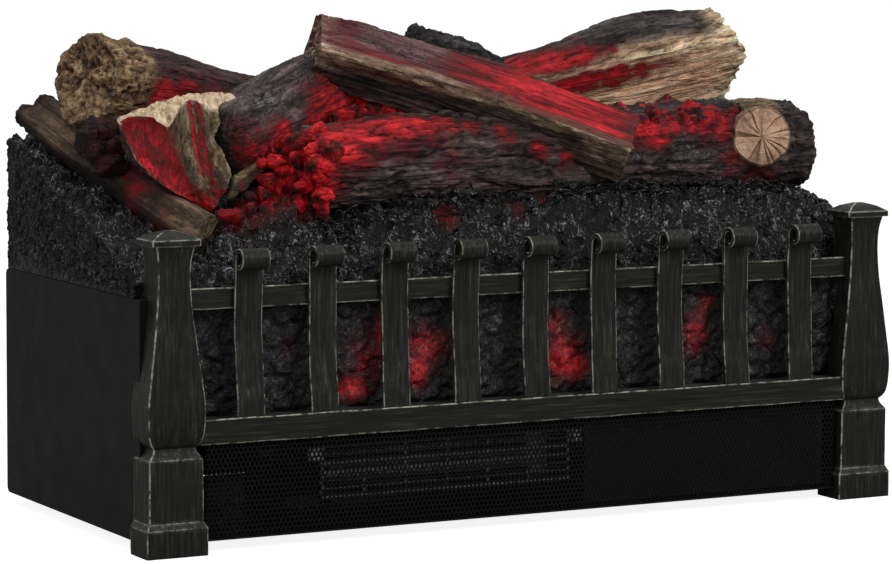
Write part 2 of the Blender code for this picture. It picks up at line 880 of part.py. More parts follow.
def add_motor(axis):
    """The fan's motor: a stator on a bracket that also carries the shaft's right end, and its rotor."""
    half = stator_size / 2
    stator_right = stator_left + stator_width
    low = (stator_left, wheel_y - half, wheel_z - half)
    high = (stator_right, wheel_y + half, wheel_z + half)
    stator = place("motor_stator", box_mesh(low, high), "steel")
    bore_start = stator_left - overcut
    bore_end = stator_right + overcut
    cut(stator, rod_on_x(bore_start, bore_end, rotor_radius + rotor_air), axis)
    rotor = place("motor_rotor", rod_on_x(stator_left, stator_right, rotor_radius), "steel", axis)
    cut(rotor, rod_on_x(bore_start, bore_end, shaft_radius + gap), axis)
    low = (stator_right + gap, wheel_y - half, pan_top + gap)
    high = (stator_right + gap + bracket_thick, wheel_y + half, wheel_z + half)
    bracket = place("motor_bracket", box_mesh(low, high), "zinc_sheet")
    cut(bracket, rod_on_x(low[0] - overcut, high[0] + overcut, shaft_radius + running_clearance), axis)


def add_control_box():
    """The box beside the duct, open at the top, with the heater's control board in it."""
    low = (box_left, box_front, pan_top + gap)
    high = (box_right, box_front + box_depth, pan_top + gap + box_height)
    bm = bmesh.new()
    bm.from_mesh(box_mesh(low, high))
    bm.normal_update()
    lid = [face for face in bm.faces if face.normal.z > along_axis_share]
    bmesh.ops.delete(bm, geom=lid, context="FACES")
    shell = place("control_box", to_mesh(bm, "control_box"), "black_plastic")
    thicken(shell, sheet)
    floor = low[2] + sheet + gap
    low = (box_left + board_margin, box_front + board_margin, floor)
    high = (box_right - board_margin, box_front + box_depth - board_margin, floor + board_thick)
    board = place("control_board", box_mesh(low, high), "circuit_board")
    y = (low[1] + high[1]) / 2
    for across_share, height_share in component_shares:
        x = low[0] + across_share * (high[0] - low[0])
        top = high[2] + component_size * height_share
        component_low = (x, y - component_size / 2, low[2] + gap)
        join(board, box_mesh(component_low, (x + component_size, y + component_size / 2, top)))


def add_led_boards():
    """Boards of lamps on the deck, under the ember bed."""
    bottom = shelf_top + gap
    width = led_board_width_share * overall_width
    pitch = led_board_pitch_share * overall_width
    for number in range(led_board_count):
        centre = overall_width / 2 + (number - (led_board_count - 1) / 2) * pitch
        left = centre - width / 2
        low = (left, led_board_y, bottom)
        high = (left + width, led_board_y + led_board_depth, bottom + board_thick)
        board = place(f"led_board_{number + 1}", box_mesh(low, high), "circuit_board")
        for lamp in range(led_count):
            x = left + (2 * lamp + 1) / 2 * width / led_count
            y = led_board_y + led_board_depth / 2
            reach = led_size / 2
            low = (x - reach, y - reach, bottom + gap)
            high = (x + reach, y + reach, bottom + board_thick + led_height)
            join(board, box_mesh(low, high))


def switch_block_box():
    half_width = rocker_pitch + rocker_width / 2 + rocker_shell
    half_height = rocker_height / 2 + rocker_room + rocker_shell
    low = (switch_x - half_width, rear_face + sheet - block_depth, switch_z - half_height)
    high = (switch_x + half_width, rear_face + sheet + rocker_lip, switch_z + half_height)
    return low, high


def rocker_outline():
    """A rocker's section about its pin: a shallow V at the back face and a narrower tail inside."""
    half = rocker_height / 2
    tail = half * rocker_tail_share
    shoulder = rocker_depth * rocker_shoulder_share
    outline = (
        (rocker_lip, half), (0, 0), (rocker_lip, -half), (-shoulder, -half),
        (-rocker_depth, -tail), (-rocker_depth, tail), (-shoulder, half),
    )
    cosine = math.cos(rocker_rest)
    sine = math.sin(rocker_rest)
    about_pin = [(y + rocker_depth / 2, z) for y, z in outline]
    return [(y * cosine - z * sine, y * sine + z * cosine) for y, z in about_pin]


def add_switches():
    """Three rockers in one block through the rear panel, each on its own pin."""
    low, high = switch_block_box()
    block = place("switch_block", box_mesh(low, high), "black_plastic")
    pivot_y = rear_face + sheet
    well_half = rocker_height / 2 + rocker_room
    pin_reach = rocker_width / 2 + rocker_shell / 2
    for number, name in enumerate(("switch_power", "switch_flame", "switch_heat")):
        x = switch_x + (number - 1) * rocker_pitch
        reach = rocker_width / 2
        well_low = (x - reach, pivot_y - block_depth + rocker_shell, switch_z - well_half)
        well_high = (x + reach, high[1] + overcut, switch_z + well_half)
        cut(block, box_mesh(well_low, well_high))
        pivot = (x, pivot_y - rocker_depth / 2, switch_z)
        cut(block, rod_on_x(-pin_reach - gap, pin_reach + gap, rocker_pin + running_clearance), pivot)
        mesh = extrusion_mesh(rocker_outline(), -reach + gap, reach - gap)
        rocker = place(name, mesh, "black_plastic", pivot)
        join(rocker, rod_on_x(-pin_reach, pin_reach, rocker_pin), pivot)


def add_gland():
    outer = rear_face + sheet
    start = (gland_x, outer + gap, gland_z)
    end = (gland_x, outer + gap + gland_stand, gland_z)
    gland = place("cord_gland", rod_mesh(start, end, gland_flange), "rubber")
    tail = (gland_x, outer + gap - gland_length, gland_z)
    join(gland, rod_mesh(tail, (gland_x, outer + gland_stand / 2, gland_z), gland_radius))
    hole_end = (gland_x, end[1] + overcut, gland_z)
    cut(gland, rod_mesh((gland_x, tail[1] - overcut, gland_z), hole_end, gland_bore))
    round_shading(gland)


def bed_front_line(x):
    """The bed's front edge: forward between the posts, and back behind each of them."""
    behind = post_depth + post_clearing
    from_post = min(x, overall_width - x) - post_width
    return behind + (bed_front - behind) * ease(min(1, max(0, from_post / clearing_slope)))


def chip_height(x, y):
    """How far the crumpled surface is over the smooth one, as a share of a chip's rise."""
    place_in = Vector((x, y, 0)) / chip_length
    middle = noise.voronoi(place_in)[1][0]
    own = noise.cell_vector(middle) - Vector((0.5, 0.5, 0.5))
    away = place_in - middle
    return own.z + chip_lean_share * (away.x * own.x + away.y * own.y)


def bed_surface(x, y, crumple):
    """The height of the ember bed at a place of the plan, with its chips where crumple is 1."""
    left = case_left + gap
    right = case_right - gap
    across = (x - left) / (right - left)
    along = (y - bed_front) / (back_y - bed_back - bed_front)
    rise = table_value(across, along, bed_x_shares, bed_y_shares, bed_height_shares) * bed_rise
    near_rim = min(1, rise / (3 * chip_rise))
    return bed_rim + rise + crumple * near_rim * chip_rise * chip_height(x, y)


def bed_block(grow, bottom, columns, rows, crumple):
    """The bed as a block from its top down to a height, grown all round except underneath."""
    left = case_left + gap
    right = case_right - gap
    back = back_y - bed_back
    bm = bmesh.new()
    bmesh.ops.create_grid(bm, x_segments=columns, y_segments=rows, size=1)
    for vert in bm.verts:
        side, end = (round(share * columns) / columns for share in vert.co.xy)
        x = left + (1 + vert.co.x) / 2 * (right - left)
        y = bed_front_line(x)
        y += (1 + vert.co.y) / 2 * (back - y)
        z = bed_surface(x, y, crumple) + grow
        vert.co = (x + grow * int(side), y + grow * int(end), z)
    rim = [edge for edge in bm.edges if edge.is_boundary]
    skirt = bmesh.ops.extrude_edge_only(bm, edges=rim)
    for item in skirt["geom"]:
        if isinstance(item, bmesh.types.BMVert):
            item.co.z = bottom
    bmesh.ops.triangulate(bm, faces=bm.faces, quad_method="FIXED")
    bmesh.ops.holes_fill(bm, edges=[edge for edge in bm.edges if edge.is_boundary], sides=0)
    bmesh.ops.recalc_face_normals(bm, faces=bm.faces)
    return to_mesh(bm, "bed")


def add_bed():
    bed = place("ember_bed", bed_block(0, bed_rim, bed_columns, bed_rows, 1), "char")
    below = bed_rim - 2 * bed_wall
    cut(bed, bed_block(-bed_wall, below, hollow_columns, hollow_rows, 0))
    bm = bmesh.new()
    bmesh.ops.create_grid(bm, x_segments=ember_columns, y_segments=ember_rows, size=1)
    bottom = shelf_top + gap
    top = case_top - sheet - gap
    for vert in bm.verts:
        x = inner_left + (1 + vert.co.x) / 2 * (inner_right - inner_left)
        z = bottom + (1 + vert.co.y) / 2 * (top - bottom)
        wave = z / ember_lump_length
        lump = math.sin(x / ember_lump_length + math.sin(wave)) * math.cos(wave)
        vert.co = (x, ember_front + ember_relief * (1 - lump) / 2, z)
    rim = [edge for edge in bm.edges if edge.is_boundary]
    back = bmesh.ops.extrude_edge_only(bm, edges=rim)
    for item in back["geom"]:
        if isinstance(item, bmesh.types.BMVert):
            item.co.y = ember_back
    bmesh.ops.holes_fill(bm, edges=[edge for edge in bm.edges if edge.is_boundary], sides=0)
    bmesh.ops.recalc_face_normals(bm, faces=bm.faces)
    place("front_ember_panel", to_mesh(bm, "front_ember_panel"), "char")


def pile_point(shares):
    x_share, y_share, z_share = shares
    return Vector((x_share * overall_width, y_share * back_y, bed_rim + z_share * pile_rise))


def section_radius(angle, flats):
    """The radius share of a round section with flat sides cut off it."""
    radius = 1.0
    for facing, distance in flats:
        facing_cosine = math.cos(angle - facing * degree)
        if facing_cosine > 0:
            radius = min(radius, distance / facing_cosine)
    return radius


def corner_angles(flats):
    """Where a section's flats meet its round side or each other."""
    corners = []
    for facing, distance in flats:
        spread = math.acos(min(1, distance))
        corners += [facing * degree - spread, facing * degree + spread]
    for i, (first, near) in enumerate(flats):
        for second, far in flats[i + 1:]:
            across = near * math.cos(second * degree) - far * math.cos(first * degree)
            along = far * math.sin(first * degree) - near * math.sin(second * degree)
            corners += [math.atan2(across, along), math.atan2(-across, -along)]
    return corners


def section_angles(flats):
    """Even angles round a section, the nearest ones moved to its corners."""
    step = 2 * math.pi / log_sides
    angles = [step * k for k in range(log_sides)]
    for corner in corner_angles(flats):
        if abs(section_radius(corner, flats) - section_radius(corner + 0.001, flats)) > 1e-9:
            nearest = round((corner % (2 * math.pi)) / step) % log_sides
            angles[nearest] = corner % (2 * math.pi)
    return sorted(angles)


def log_mesh(ends, radius, flats=(), widths=(1, 1), sag=0, leans=(0, 0), seed=0, grow=0):
    """A log along a line: widths are shares of its radius along it, leans slant its two ends."""
    start = pile_point(ends[0])
    end = pile_point(ends[1])
    run = (end - start).normalized()
    side = run.cross(Vector((0, 0, 1))).normalized()
    up = side.cross(run)
    angles = section_angles(flats)
    rings = []
    for number in range(log_stations):
        t = number / (log_stations - 1)
        place_in = t * (len(widths) - 1)
        index = min(int(place_in), len(widths) - 2)
        width = widths[index] + (widths[index + 1] - widths[index]) * ease(place_in - index)
        centre = start.lerp(end, t) + up * (sag * radius * math.sin(math.pi * t))
        centre += run * (grow * (2 * t - 1))
        lean = leans[0] * (1 - t) + leans[1] * t
        ring = []
        for angle in angles:
            wave = math.sin(3 * angle + 5 * t + seed) * math.cos(2 * angle - 7 * t + 2 * seed)
            reach = section_radius(angle, flats) * radius * width * (1 + log_knurl_share * wave) + grow
            across = reach * math.cos(angle)
            ring.append(centre + side * across + up * (reach * math.sin(angle)) + run * (lean * across))
        rings.append(ring)
    return loft_mesh(rings)


# ends, radius and form of every log, the ones on top first: each is cut by those before it. A flat
# is its facing in degrees and its distance from the middle line as a share of the radius.
log_form_shares = (
    ("log_top", log_top_ends_shares, log_top_radius_share,
     {"flats": ((54, 0.40), (-30, 0.70), (180, 0.80), (-90, 0.85)), "widths": (1.0, 0.97, 1.0, 0.95),
      "leans": (0.1, -0.2), "sag": 0.13, "seed": 1}),
    ("log_front", log_front_ends_shares, log_front_radius_share,
     {"widths": (0.86, 1.0, 1.02, 1.0, 1.04, 1.0), "leans": (0.15, 0.1), "seed": 2}),
    ("log_back_right", log_back_right_ends_shares, log_back_right_radius_share,
     {"flats": ((-35, 0.62),), "widths": (0.78, 0.90, 1.12, 1.0), "leans": (0, -0.1), "sag": 0.15,
      "seed": 3}),
    ("log_back_left", log_back_left_ends_shares, log_back_left_radius_share,
     {"widths": (0.95, 0.98, 0.90, 0.85), "leans": (0.2, 0), "seed": 4}),
    ("log_centre", log_centre_ends_shares, log_centre_radius_share,
     {"widths": (0.85, 1.0, 1.0, 0.9), "seed": 5}),
    ("log_fork", log_fork_ends_shares, log_fork_radius_share,
     {"flats": ((90, 0.45), (-90, 0.45)), "widths": (0.22, 0.55, 0.85, 1.08), "seed": 6}),
    ("log_branch", log_branch_ends_shares, log_branch_radius_share,
     {"flats": ((200, 0.55),), "widths": (0.84, 1.0, 0.95, 1.0), "leans": (0, 0.4), "sag": -0.15,
      "seed": 7}),
    ("log_chip", log_chip_ends_shares, log_chip_radius_share,
     {"widths": (0.95, 1.0, 0.8), "seed": 8}),
)


def reach_of(mesh):
    """The corners of a mesh's own box."""
    low = [min(v.co[k] for v in mesh.vertices) for k in range(3)]
    high = [max(v.co[k] for v in mesh.vertices) for k in range(3)]
    return low, high


def boxes_meet(first, second):
    return all(first[0][k] <= second[1][k] and second[0][k] <= first[1][k] for k in range(3))


def add_logs():
    """Every log, cut underneath by the bed and by each log that lies over it."""
    below = bed_rim - 2 * bed_wall
    bed = place_cutter("bed_grown", bed_block(gap, below, bed_columns, bed_rows, 1))
    upper = []
    stub = [pile_point(shares) for shares in stub_ends_shares]
    stub_radius = stub_radius_share * pile_rise
    for name, ends, radius_share, form in log_form_shares:
        radius = radius_share * pile_rise
        log = place(name, log_mesh(ends, radius, **form), "bark")
        reach = reach_of(log.data)
        if name == "log_front":
            join(log, rod_mesh(*stub, stub_radius, stub_sides))
        combine(log, bed, "DIFFERENCE")
        for cutter, cutter_reach in upper:
            if boxes_meet(reach, cutter_reach):
                combine(log, cutter, "DIFFERENCE")
        swollen = log_mesh(ends, radius, **form, grow=gap)
        upper.append((place_cutter(name + "_grown", swollen), reach_of(swollen)))
        if name == "log_front":
            swollen = rod_mesh(*stub, stub_radius + gap, stub_sides)
            upper.append((place_cutter("stub_grown", swollen), reach_of(swollen)))


def centre_part():
    """Put the origin under the middle of the part's box, whose front is the scrolls' front."""
    front = min(y for y, z in bar_line()) - bar_thick / 2
    ORIGIN.location = (-overall_width / 2, -(back_y + front) / 2, 0)


add_grate()
add_case()
add_grille()
add_duct()
add_fan()
add_control_box()
add_led_boards()
add_switches()
add_gland()
add_bed()
add_logs()
centre_part()
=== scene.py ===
"""An electric log set: its looks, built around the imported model.

Lengths are metres, unless a heading says millimetres. Places are given from the case's left front bottom
corner, x to the right, y to the back, z up, as in the part's source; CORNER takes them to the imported
model's own frame.
"""
import math

import bmesh
import bpy
import numpy as np
from mathutils import Matrix, Vector, noise as chips


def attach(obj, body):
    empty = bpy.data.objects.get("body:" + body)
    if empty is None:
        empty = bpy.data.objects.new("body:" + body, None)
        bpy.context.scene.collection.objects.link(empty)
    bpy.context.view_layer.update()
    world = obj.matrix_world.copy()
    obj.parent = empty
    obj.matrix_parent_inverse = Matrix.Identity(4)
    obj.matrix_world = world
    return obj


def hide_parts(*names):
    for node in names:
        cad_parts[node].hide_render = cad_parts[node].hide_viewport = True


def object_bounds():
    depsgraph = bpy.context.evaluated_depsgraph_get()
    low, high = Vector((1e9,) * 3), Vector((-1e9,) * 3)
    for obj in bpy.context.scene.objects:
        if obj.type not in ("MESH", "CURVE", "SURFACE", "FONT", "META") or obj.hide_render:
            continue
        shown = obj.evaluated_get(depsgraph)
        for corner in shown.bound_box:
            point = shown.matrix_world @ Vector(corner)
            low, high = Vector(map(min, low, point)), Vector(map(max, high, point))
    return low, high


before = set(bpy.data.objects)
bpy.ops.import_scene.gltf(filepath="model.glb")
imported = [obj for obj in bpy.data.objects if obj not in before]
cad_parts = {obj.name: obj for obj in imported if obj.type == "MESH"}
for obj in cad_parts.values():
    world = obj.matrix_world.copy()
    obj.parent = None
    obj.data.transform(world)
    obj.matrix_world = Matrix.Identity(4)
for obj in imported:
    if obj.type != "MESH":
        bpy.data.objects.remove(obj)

CAD_BOX = [list(v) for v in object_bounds()]
CORNER = np.array([-0.2605, -0.11139847, 0.0])
BOX_ROOM = 0.00002
BOX_LOW = np.array(CAD_BOX[0]) + BOX_ROOM
BOX_HIGH = np.array(CAD_BOX[1]) - BOX_ROOM

# Camera of the photograph
PHOTO_WIDTH = 892
EYE = (-0.81826, -1.88250, 0.37681)
AZIMUTH = -28.291
ELEVATION = 5.967
ROLL = 0.330
FOCAL_PIXELS = 3588.8
SENSOR = 36.0

# Lengths shared with the part's source
WIDTH = 0.521
DEPTH = 0.228
GAP = 0.0003
POST_WIDTH = 0.039
POST_DEPTH = 0.025
POST_HEIGHT = 0.190
POST_SECTIONS = (
    (0.000, 1.00, 0.00, 1.00), (0.086, 1.00, 0.00, 1.00), (0.105, 0.89, 0.07, 1.00),
    (0.300, 0.88, 0.07, 1.00), (0.322, 0.71, 0.16, 1.00), (0.334, 0.68, 0.18, 1.00),
    (0.347, 0.80, 0.10, 1.00), (0.370, 0.89, 0.05, 1.00), (0.410, 0.93, 0.02, 1.00),
    (0.470, 0.93, 0.01, 1.00), (0.550, 0.84, 0.04, 1.00), (0.650, 0.71, 0.08, 1.00),
    (0.760, 0.58, 0.14, 1.00), (0.850, 0.53, 0.16, 0.99), (0.910, 0.55, 0.14, 0.97),
    (0.954, 0.63, 0.08, 0.96), (0.955, 0.79, 0.01, 0.99), (0.973, 0.79, 0.01, 0.99),
    (0.990, 0.50, 0.20, 0.80), (1.000, 0.16, 0.42, 0.58),
)
CURVED_FROM = 0.334
CURVED_TO = 0.954
BOTTOM_RAIL = ((0.0355, 0.002, 0.0645), (0.4855, 0.006, 0.0795))
TOP_RAIL = ((0.0285, 0.0097, 0.143), (0.4925, 0.0137, 0.1555))
BAR_COUNT = 9
BAR_PITCH = 0.0482
BAR_WIDTH = 0.0181
BAR_THICK = 0.0028
BAR_FOOT = 0.0798
BAR_LINE = ((0.042, 0.000), (0.049, 0.115), (0.063, 0.229), (0.079, 0.441), (0.084, 0.583), (0.083, 0.797),
            (0.078, 0.917))
SCROLL_RADIUS = 0.00575
SCROLL_TIP = 0.72
SCROLL_TURN = math.radians(285)
SCROLL_Z = 0.1717
SCROLL_Y = 0.00125
CASE_LEFT = 0.0033
CASE_RIGHT = WIDTH - 0.0033
RIM = 0.1496
BED_FRONT = 0.0155
BED_BACK = DEPTH - 0.0012
BED_RISE = 0.082
BED_X = (0.0, 0.11, 0.23, 0.38, 0.58, 0.77, 0.91, 1.0)
BED_Y = (0.0, 0.12, 0.28, 0.45, 0.65, 0.84, 1.0)
BED_HEIGHTS = (
    (0.03, 0.04, 0.05, 0.06, 0.06, 0.05, 0.04, 0.03),
    (0.18, 0.20, 0.34, 0.55, 0.60, 0.59, 0.55, 0.30),
    (0.36, 0.36, 0.64, 0.58, 0.58, 0.58, 0.57, 0.45),
    (0.52, 0.55, 0.68, 0.64, 0.64, 0.64, 0.60, 0.48),
    (0.68, 0.76, 0.74, 0.74, 0.80, 0.84, 0.80, 0.50),
    (0.94, 0.90, 0.84, 0.84, 0.86, 0.88, 0.84, 0.52),
    (0.98, 0.92, 0.80, 0.78, 0.78, 0.78, 0.74, 0.50),
)
CHIP_LENGTH = 0.0155
CHIP_RISE = 0.0026
CHIP_LEAN = 2.4
PILE_RISE = 0.160

# Colours as a screen shows them, 0 to 255: dark, middle and light ones of barks, split faces and pale cuts
BARKS = {
    "grey": ((24, 20, 20), (60, 52, 50), (98, 88, 84)),
    "brown": ((24, 16, 15), (64, 45, 42), (104, 82, 75)),
    "maroon": ((26, 13, 13), (60, 36, 35), (92, 68, 64)),
    "black": ((12, 11, 12), (40, 36, 36), (80, 75, 75)),
    "ashen": ((28, 22, 22), (80, 64, 62), (134, 116, 110)),
}
FACES = {
    "red": ((44, 24, 25), (98, 60, 60), (138, 104, 98)),
    "brown": ((30, 20, 17), (70, 50, 42), (112, 88, 72)),
    "tan": ((168, 116, 90), (240, 190, 154), (252, 226, 196)),
    "burl": ((48, 32, 22), (122, 94, 68), (176, 148, 110)),
    "olive": ((36, 29, 22), (84, 69, 52), (134, 114, 88)),
}
PALES = {
    "cream": ((84, 64, 42), (176, 150, 112), (226, 206, 170)),
    "rim": ((78, 58, 44), (146, 122, 98), (206, 184, 150)),
    "olive": ((48, 40, 30), (104, 88, 66), (154, 134, 104)),
    "bright": ((140, 112, 84), (206, 180, 148), (232, 214, 186)),
    "fresh": ((128, 104, 74), (216, 192, 154), (246, 230, 200)),
}
ASHES = ((33.3, 32.4, 32.4), (74, 72, 72), (129.5, 126, 126))
MASKS = ("face", "pale", "ash", "dark", "glow")


# Numbers and noise

def lattice(ix, iy, iz, seed):
    """Repeatable random numbers from -1 to 1 at whole-number places."""
    n = (ix * 374761393 + iy * 668265263 + iz * 1440670441 + seed * 1013904223) & 0xFFFFFFFF
    n = ((n ^ (n >> 13)) * 1274126177) & 0xFFFFFFFF
    n = ((n ^ (n >> 15)) * 2246822519) & 0xFFFFFFFF
    return ((n ^ (n >> 16)) & 0xFFFF) / 32767.5 - 1


def noise(points, size, seed=0, octaves=1, stretch=(1, 1, 1)):
    """Smooth noise of about -1 to 1 whose lumps are as wide as size, times stretch along each axis."""
    p = points / (size * np.array(stretch))
    total = np.zeros(len(p))
    strength = 1.0
    for octave in range(octaves):
        base = np.floor(p).astype(np.int64)
        f = p - base
        f = f * f * (3 - 2 * f)
        value = 0
        for corner in range(8):
            c = np.array([corner & 1, (corner >> 1) & 1, corner >> 2])
            weight = np.prod(np.where(c == 1, f, 1 - f), axis=1)
            value = value + weight * lattice(*(base + c).T, seed + 31 * octave)
        total += strength * value
        strength *= 0.5
        p = p * 2.03 + 11.7
    return total


def ridges(points, size, seed=0, octaves=1, stretch=(1, 1, 1)):
    """Noise with sharp crests: 1 along thin lines, falling to 0 between them."""
    return 1 - np.minimum(1, np.abs(noise(points, size, seed, octaves, stretch)) * 1.6)


def cells(points, size, seed, stretch=(1, 1, 1)):
    """For each place, its nearest scattered point: the offset from it, its number, the gap to the next."""
    p = points / (size * np.array(stretch, float))
    base = np.floor(p).astype(np.int64)
    best = np.full(len(p), 9.0)
    second = np.full(len(p), 9.0)
    away = np.zeros((len(p), 3))
    number = np.zeros(len(p), np.int64)
    for step in range(27):
        cell = base + np.array([step % 3 - 1, step // 3 % 3 - 1, step // 9 - 1])
        jitter = np.stack([lattice(*cell.T, seed + k) for k in range(3)], -1)
        offset = p - cell - 0.5 - 0.42 * jitter
        distance = np.sqrt((offset ** 2).sum(1))
        nearer = distance < best
        second = np.where(nearer, best, np.minimum(second, distance))
        best = np.where(nearer, distance, best)
        away = np.where(nearer[:, None], offset, away)
        number = np.where(nearer, cell @ np.array([7919, 104729, 1299709]), number)
    return away * size, number, second - best


def unit(x):
    return np.clip(x, 0, 1)


def ease(t):
    t = unit(t)
    return t * t * (3 - 2 * t)


def hill(x, width):
    """1 where x is 0, falling off on both sides over about a width."""
    return np.exp(-(x / width) ** 2)


def grid(rows, columns):
    """Shares of the way up and across, from 0 to 1, of each point of a grid."""
    return np.repeat(np.linspace(0, 1, rows), columns), np.tile(np.linspace(0, 1, columns), rows)


def walked_along(line):
    """The length of a line up to each of its points."""
    return np.concatenate([[0], np.cumsum(np.linalg.norm(np.diff(line, axis=0), axis=1))])


def smooth_line(points, steps):
    """A Catmull-Rom line through points, with so many steps between each two."""
    points = [np.array(point, float) for point in points]
    padded = [2 * points[0] - points[1], *points, 2 * points[-1] - points[-2]]
    line = []
    for before, here, there, after in zip(padded, padded[1:], padded[2:], padded[3:]):
        for step in range(steps):
            t = step / steps
            line.append(here + (there - before) * (t / 2)
                        + (2 * before - 5 * here + 4 * there - after) * (t * t / 2)
                        + (3 * here - before - 3 * there + after) * (t * t * t / 2))
    line.append(points[-1])
    return np.array(line)


# Materials

def shown(colour):
    """A colour as the renderer wants it: from a grey, or from what a screen shows, 0 to 255."""
    if not isinstance(colour, tuple):
        return (colour, colour, colour, 1)
    if len(colour) == 4:
        return colour
    return tuple(((v / 255 + 0.055) / 1.055) ** 2.4 if v > 10 else v / 255 / 12.92 for v in colour) + (1.0,)


class Value:
    """The output of a node, to write sums and products with."""

    def __init__(self, nodes, socket):
        self.nodes = nodes
        self.socket = socket

    def __add__(self, other):
        return self.nodes.math("ADD", self, other)

    def __sub__(self, other):
        return self.nodes.math("SUBTRACT", self, other)

    def __rsub__(self, other):
        return self.nodes.math("SUBTRACT", other, self)

    def __mul__(self, other):
        return self.nodes.math("MULTIPLY", self, other)


class Nodes:
    """A short way to write the nodes of a material, or of the world."""

    def __init__(self, data, has_grain=False, **settings):
        data.use_nodes = True
        self.data = data
        self.tree = data.node_tree
        self.has_grain = has_grain
        for key, value in settings.items():
            self.shade(key.replace("_", " "), value)

    def shade(self, key, value):
        self.put(self.tree.nodes["Principled BSDF"].inputs[key], value)

    def put(self, socket, value):
        if isinstance(value, Value):
            self.tree.links.new(value.socket, socket)
        else:
            socket.default_value = shown(value) if socket.type == "RGBA" else value

    def make(self, kind, output, inputs=(), **settings):
        """An output of a new node, with its inputs and settings filled in."""
        made = self.tree.nodes.new("ShaderNode" + kind)
        for key, value in settings.items():
            setattr(made, key, value)
        for key, value in dict(inputs).items():
            self.put(made.inputs[key], value)
        return Value(self, made.outputs[output])

    def place(self, scale):
        """The piece's own coordinates, or those along its grain, scaled along each axis."""
        if self.has_grain:
            own = self.make("Attribute", "Vector", attribute_name="grain")
        else:
            own = self.make("TexCoord", "Object")
        return self.make("Mapping", "Vector", {"Vector": own, "Scale": scale})

    def mask(self, name):
        return self.make("Attribute", "Fac", attribute_name=name)

    def grain(self, scale, stretch=(1, 1, 1), detail=4.0, rough=0.6, warp=0.0):
        return self.make("TexNoise", "Fac", {"Vector": self.place(stretch), "Scale": scale, "Detail": detail,
                                             "Roughness": rough, "Distortion": warp})

    def lines(self, scale, stretch, sharp, warp):
        """Thin winding lines: 1 on a line, falling to 0 beside it."""
        off = self.math("ABSOLUTE", self.grain(scale, stretch, 3.0, 0.55, warp) - 0.5)
        return self.math("SUBTRACT", 1.0, off * sharp, True)

    def ramp(self, value, *stops):
        """Colours, or plain numbers as greys, at places from 0 to 1."""
        made = self.make("ValToRGB", "Color", {"Fac": value})
        elements = made.socket.node.color_ramp.elements
        while len(elements) < len(stops):
            elements.new(0.5)
        for element, (where, colour) in zip(elements, stops):
            element.position = where
            element.color = shown(colour)
        return made

    def mix(self, amount, first, second):
        return self.make("Mix", 2, {0: amount, 6: first, 7: second}, data_type="RGBA")

    def math(self, operation, first, second=0.0, clamp=False):
        return self.make("Math", 0, {0: first, 1: second}, operation=operation, use_clamp=clamp)

    def embers(self, base, texture, hottest, light):
        """Lays a red heat over a colour, from dull maroon to hottest, by the mask named glow."""
        heat = self.mask("glow") * self.ramp(texture, (0.36, 0.38), (0.60, 1.0))
        red = self.ramp(heat, (0.0, (44, 12, 14)), (0.25, (84, 19, 23)), (0.55, (142, 30, 36)),
                        (0.80, (186, 42, 46)),
                        (1.0, hottest))
        self.shade("Emission Color", (214, 18, 24))
        self.shade("Emission Strength", self.math("POWER", heat, 2.0) * light)
        return self.mix(self.math("MULTIPLY", heat, 3.4, True), base, red)

    def surface(self, colour, rough, height, distance, strength):
        """Sets the material's colour, roughness and bumps, and gives it back."""
        self.shade("Base Color", colour)
        self.shade("Roughness", rough)
        bumps = {"Height": height, "Distance": distance, "Strength": strength}
        self.shade("Normal", self.make("Bump", "Normal", bumps))
        return self.data


def material_nodes(name, roughness=0.5, metallic=0.0, specular=0.2, has_grain=False):
    return Nodes(bpy.data.materials.new(name), has_grain, Roughness=roughness, Metallic=metallic,
                 Specular_IOR_Level=specular)


def antique_black(name, stretch):
    """Black cast metal, brushed along one way, with a pale pewter tint at its edges: partly rubbed wear,
    partly a painted highlight where light catches them.
    """
    m = material_nodes(name, metallic=0.1, specular=0.10)
    streaks = m.grain(1.0, stretch, 5.0, 0.62)
    fine = m.grain(1.0, tuple(2.7 * s for s in stretch), 3.0)
    patches = m.grain(38.0, (1, 1, 1), 3.0, 0.55)
    base = m.ramp(streaks, (0.36, (12, 12, 11)), (0.50, (24, 24, 22)), (0.62, (40, 40, 36)),
                  (0.74, (70, 70, 62)))
    base = m.mix(m.ramp(patches, (0.38, 0.0), (0.66, 0.75)), base, (22, 22, 18))
    base = m.mix(m.ramp(fine, (0.60, 0.0), (0.80, 0.45)), base, (72, 71, 60))
    # Edges painted pale pewter: partly wear, partly a painted highlight where light catches them
    wear_and_highlight = m.mask("edge") * m.ramp(m.grain(150.0, (1, 1, 1), 4.0, 0.7), (0.42, 0.06), (0.58, 1.0))
    base = m.mix(wear_and_highlight, base, (146, 146, 134))
    return m.surface(base, m.ramp(streaks, (0.3, 0.60), (0.7, 0.42)), streaks + patches * 1.6, 0.0003, 0.45)


def plain(name, colour, roughness, metallic=0.0, scale=220.0, spread=0.25, bump=0.00008, stretch=(1, 1, 1),
          specular=0.2):
    """A moulded, painted or rolled surface with a fine texture and a slight cloudiness."""
    m = material_nodes(name, roughness, metallic, specular)
    dark, light = (tuple(min(1, v * share) for v in shown(colour)[:3]) + (1.0,)
                   for share in (1 - spread, 1 + spread))
    fine = m.grain(scale, stretch)
    cloud = m.grain(scale / 14, stretch, 2.0, 0.5)
    rough = m.ramp(cloud, (0.3, max(0.05, roughness - 0.07)), (0.7, min(1, roughness + 0.07)))
    return m.surface(m.ramp(m.mix(0.45, fine, cloud), (0.35, dark), (0.65, light)), rough, fine, bump, 0.6)


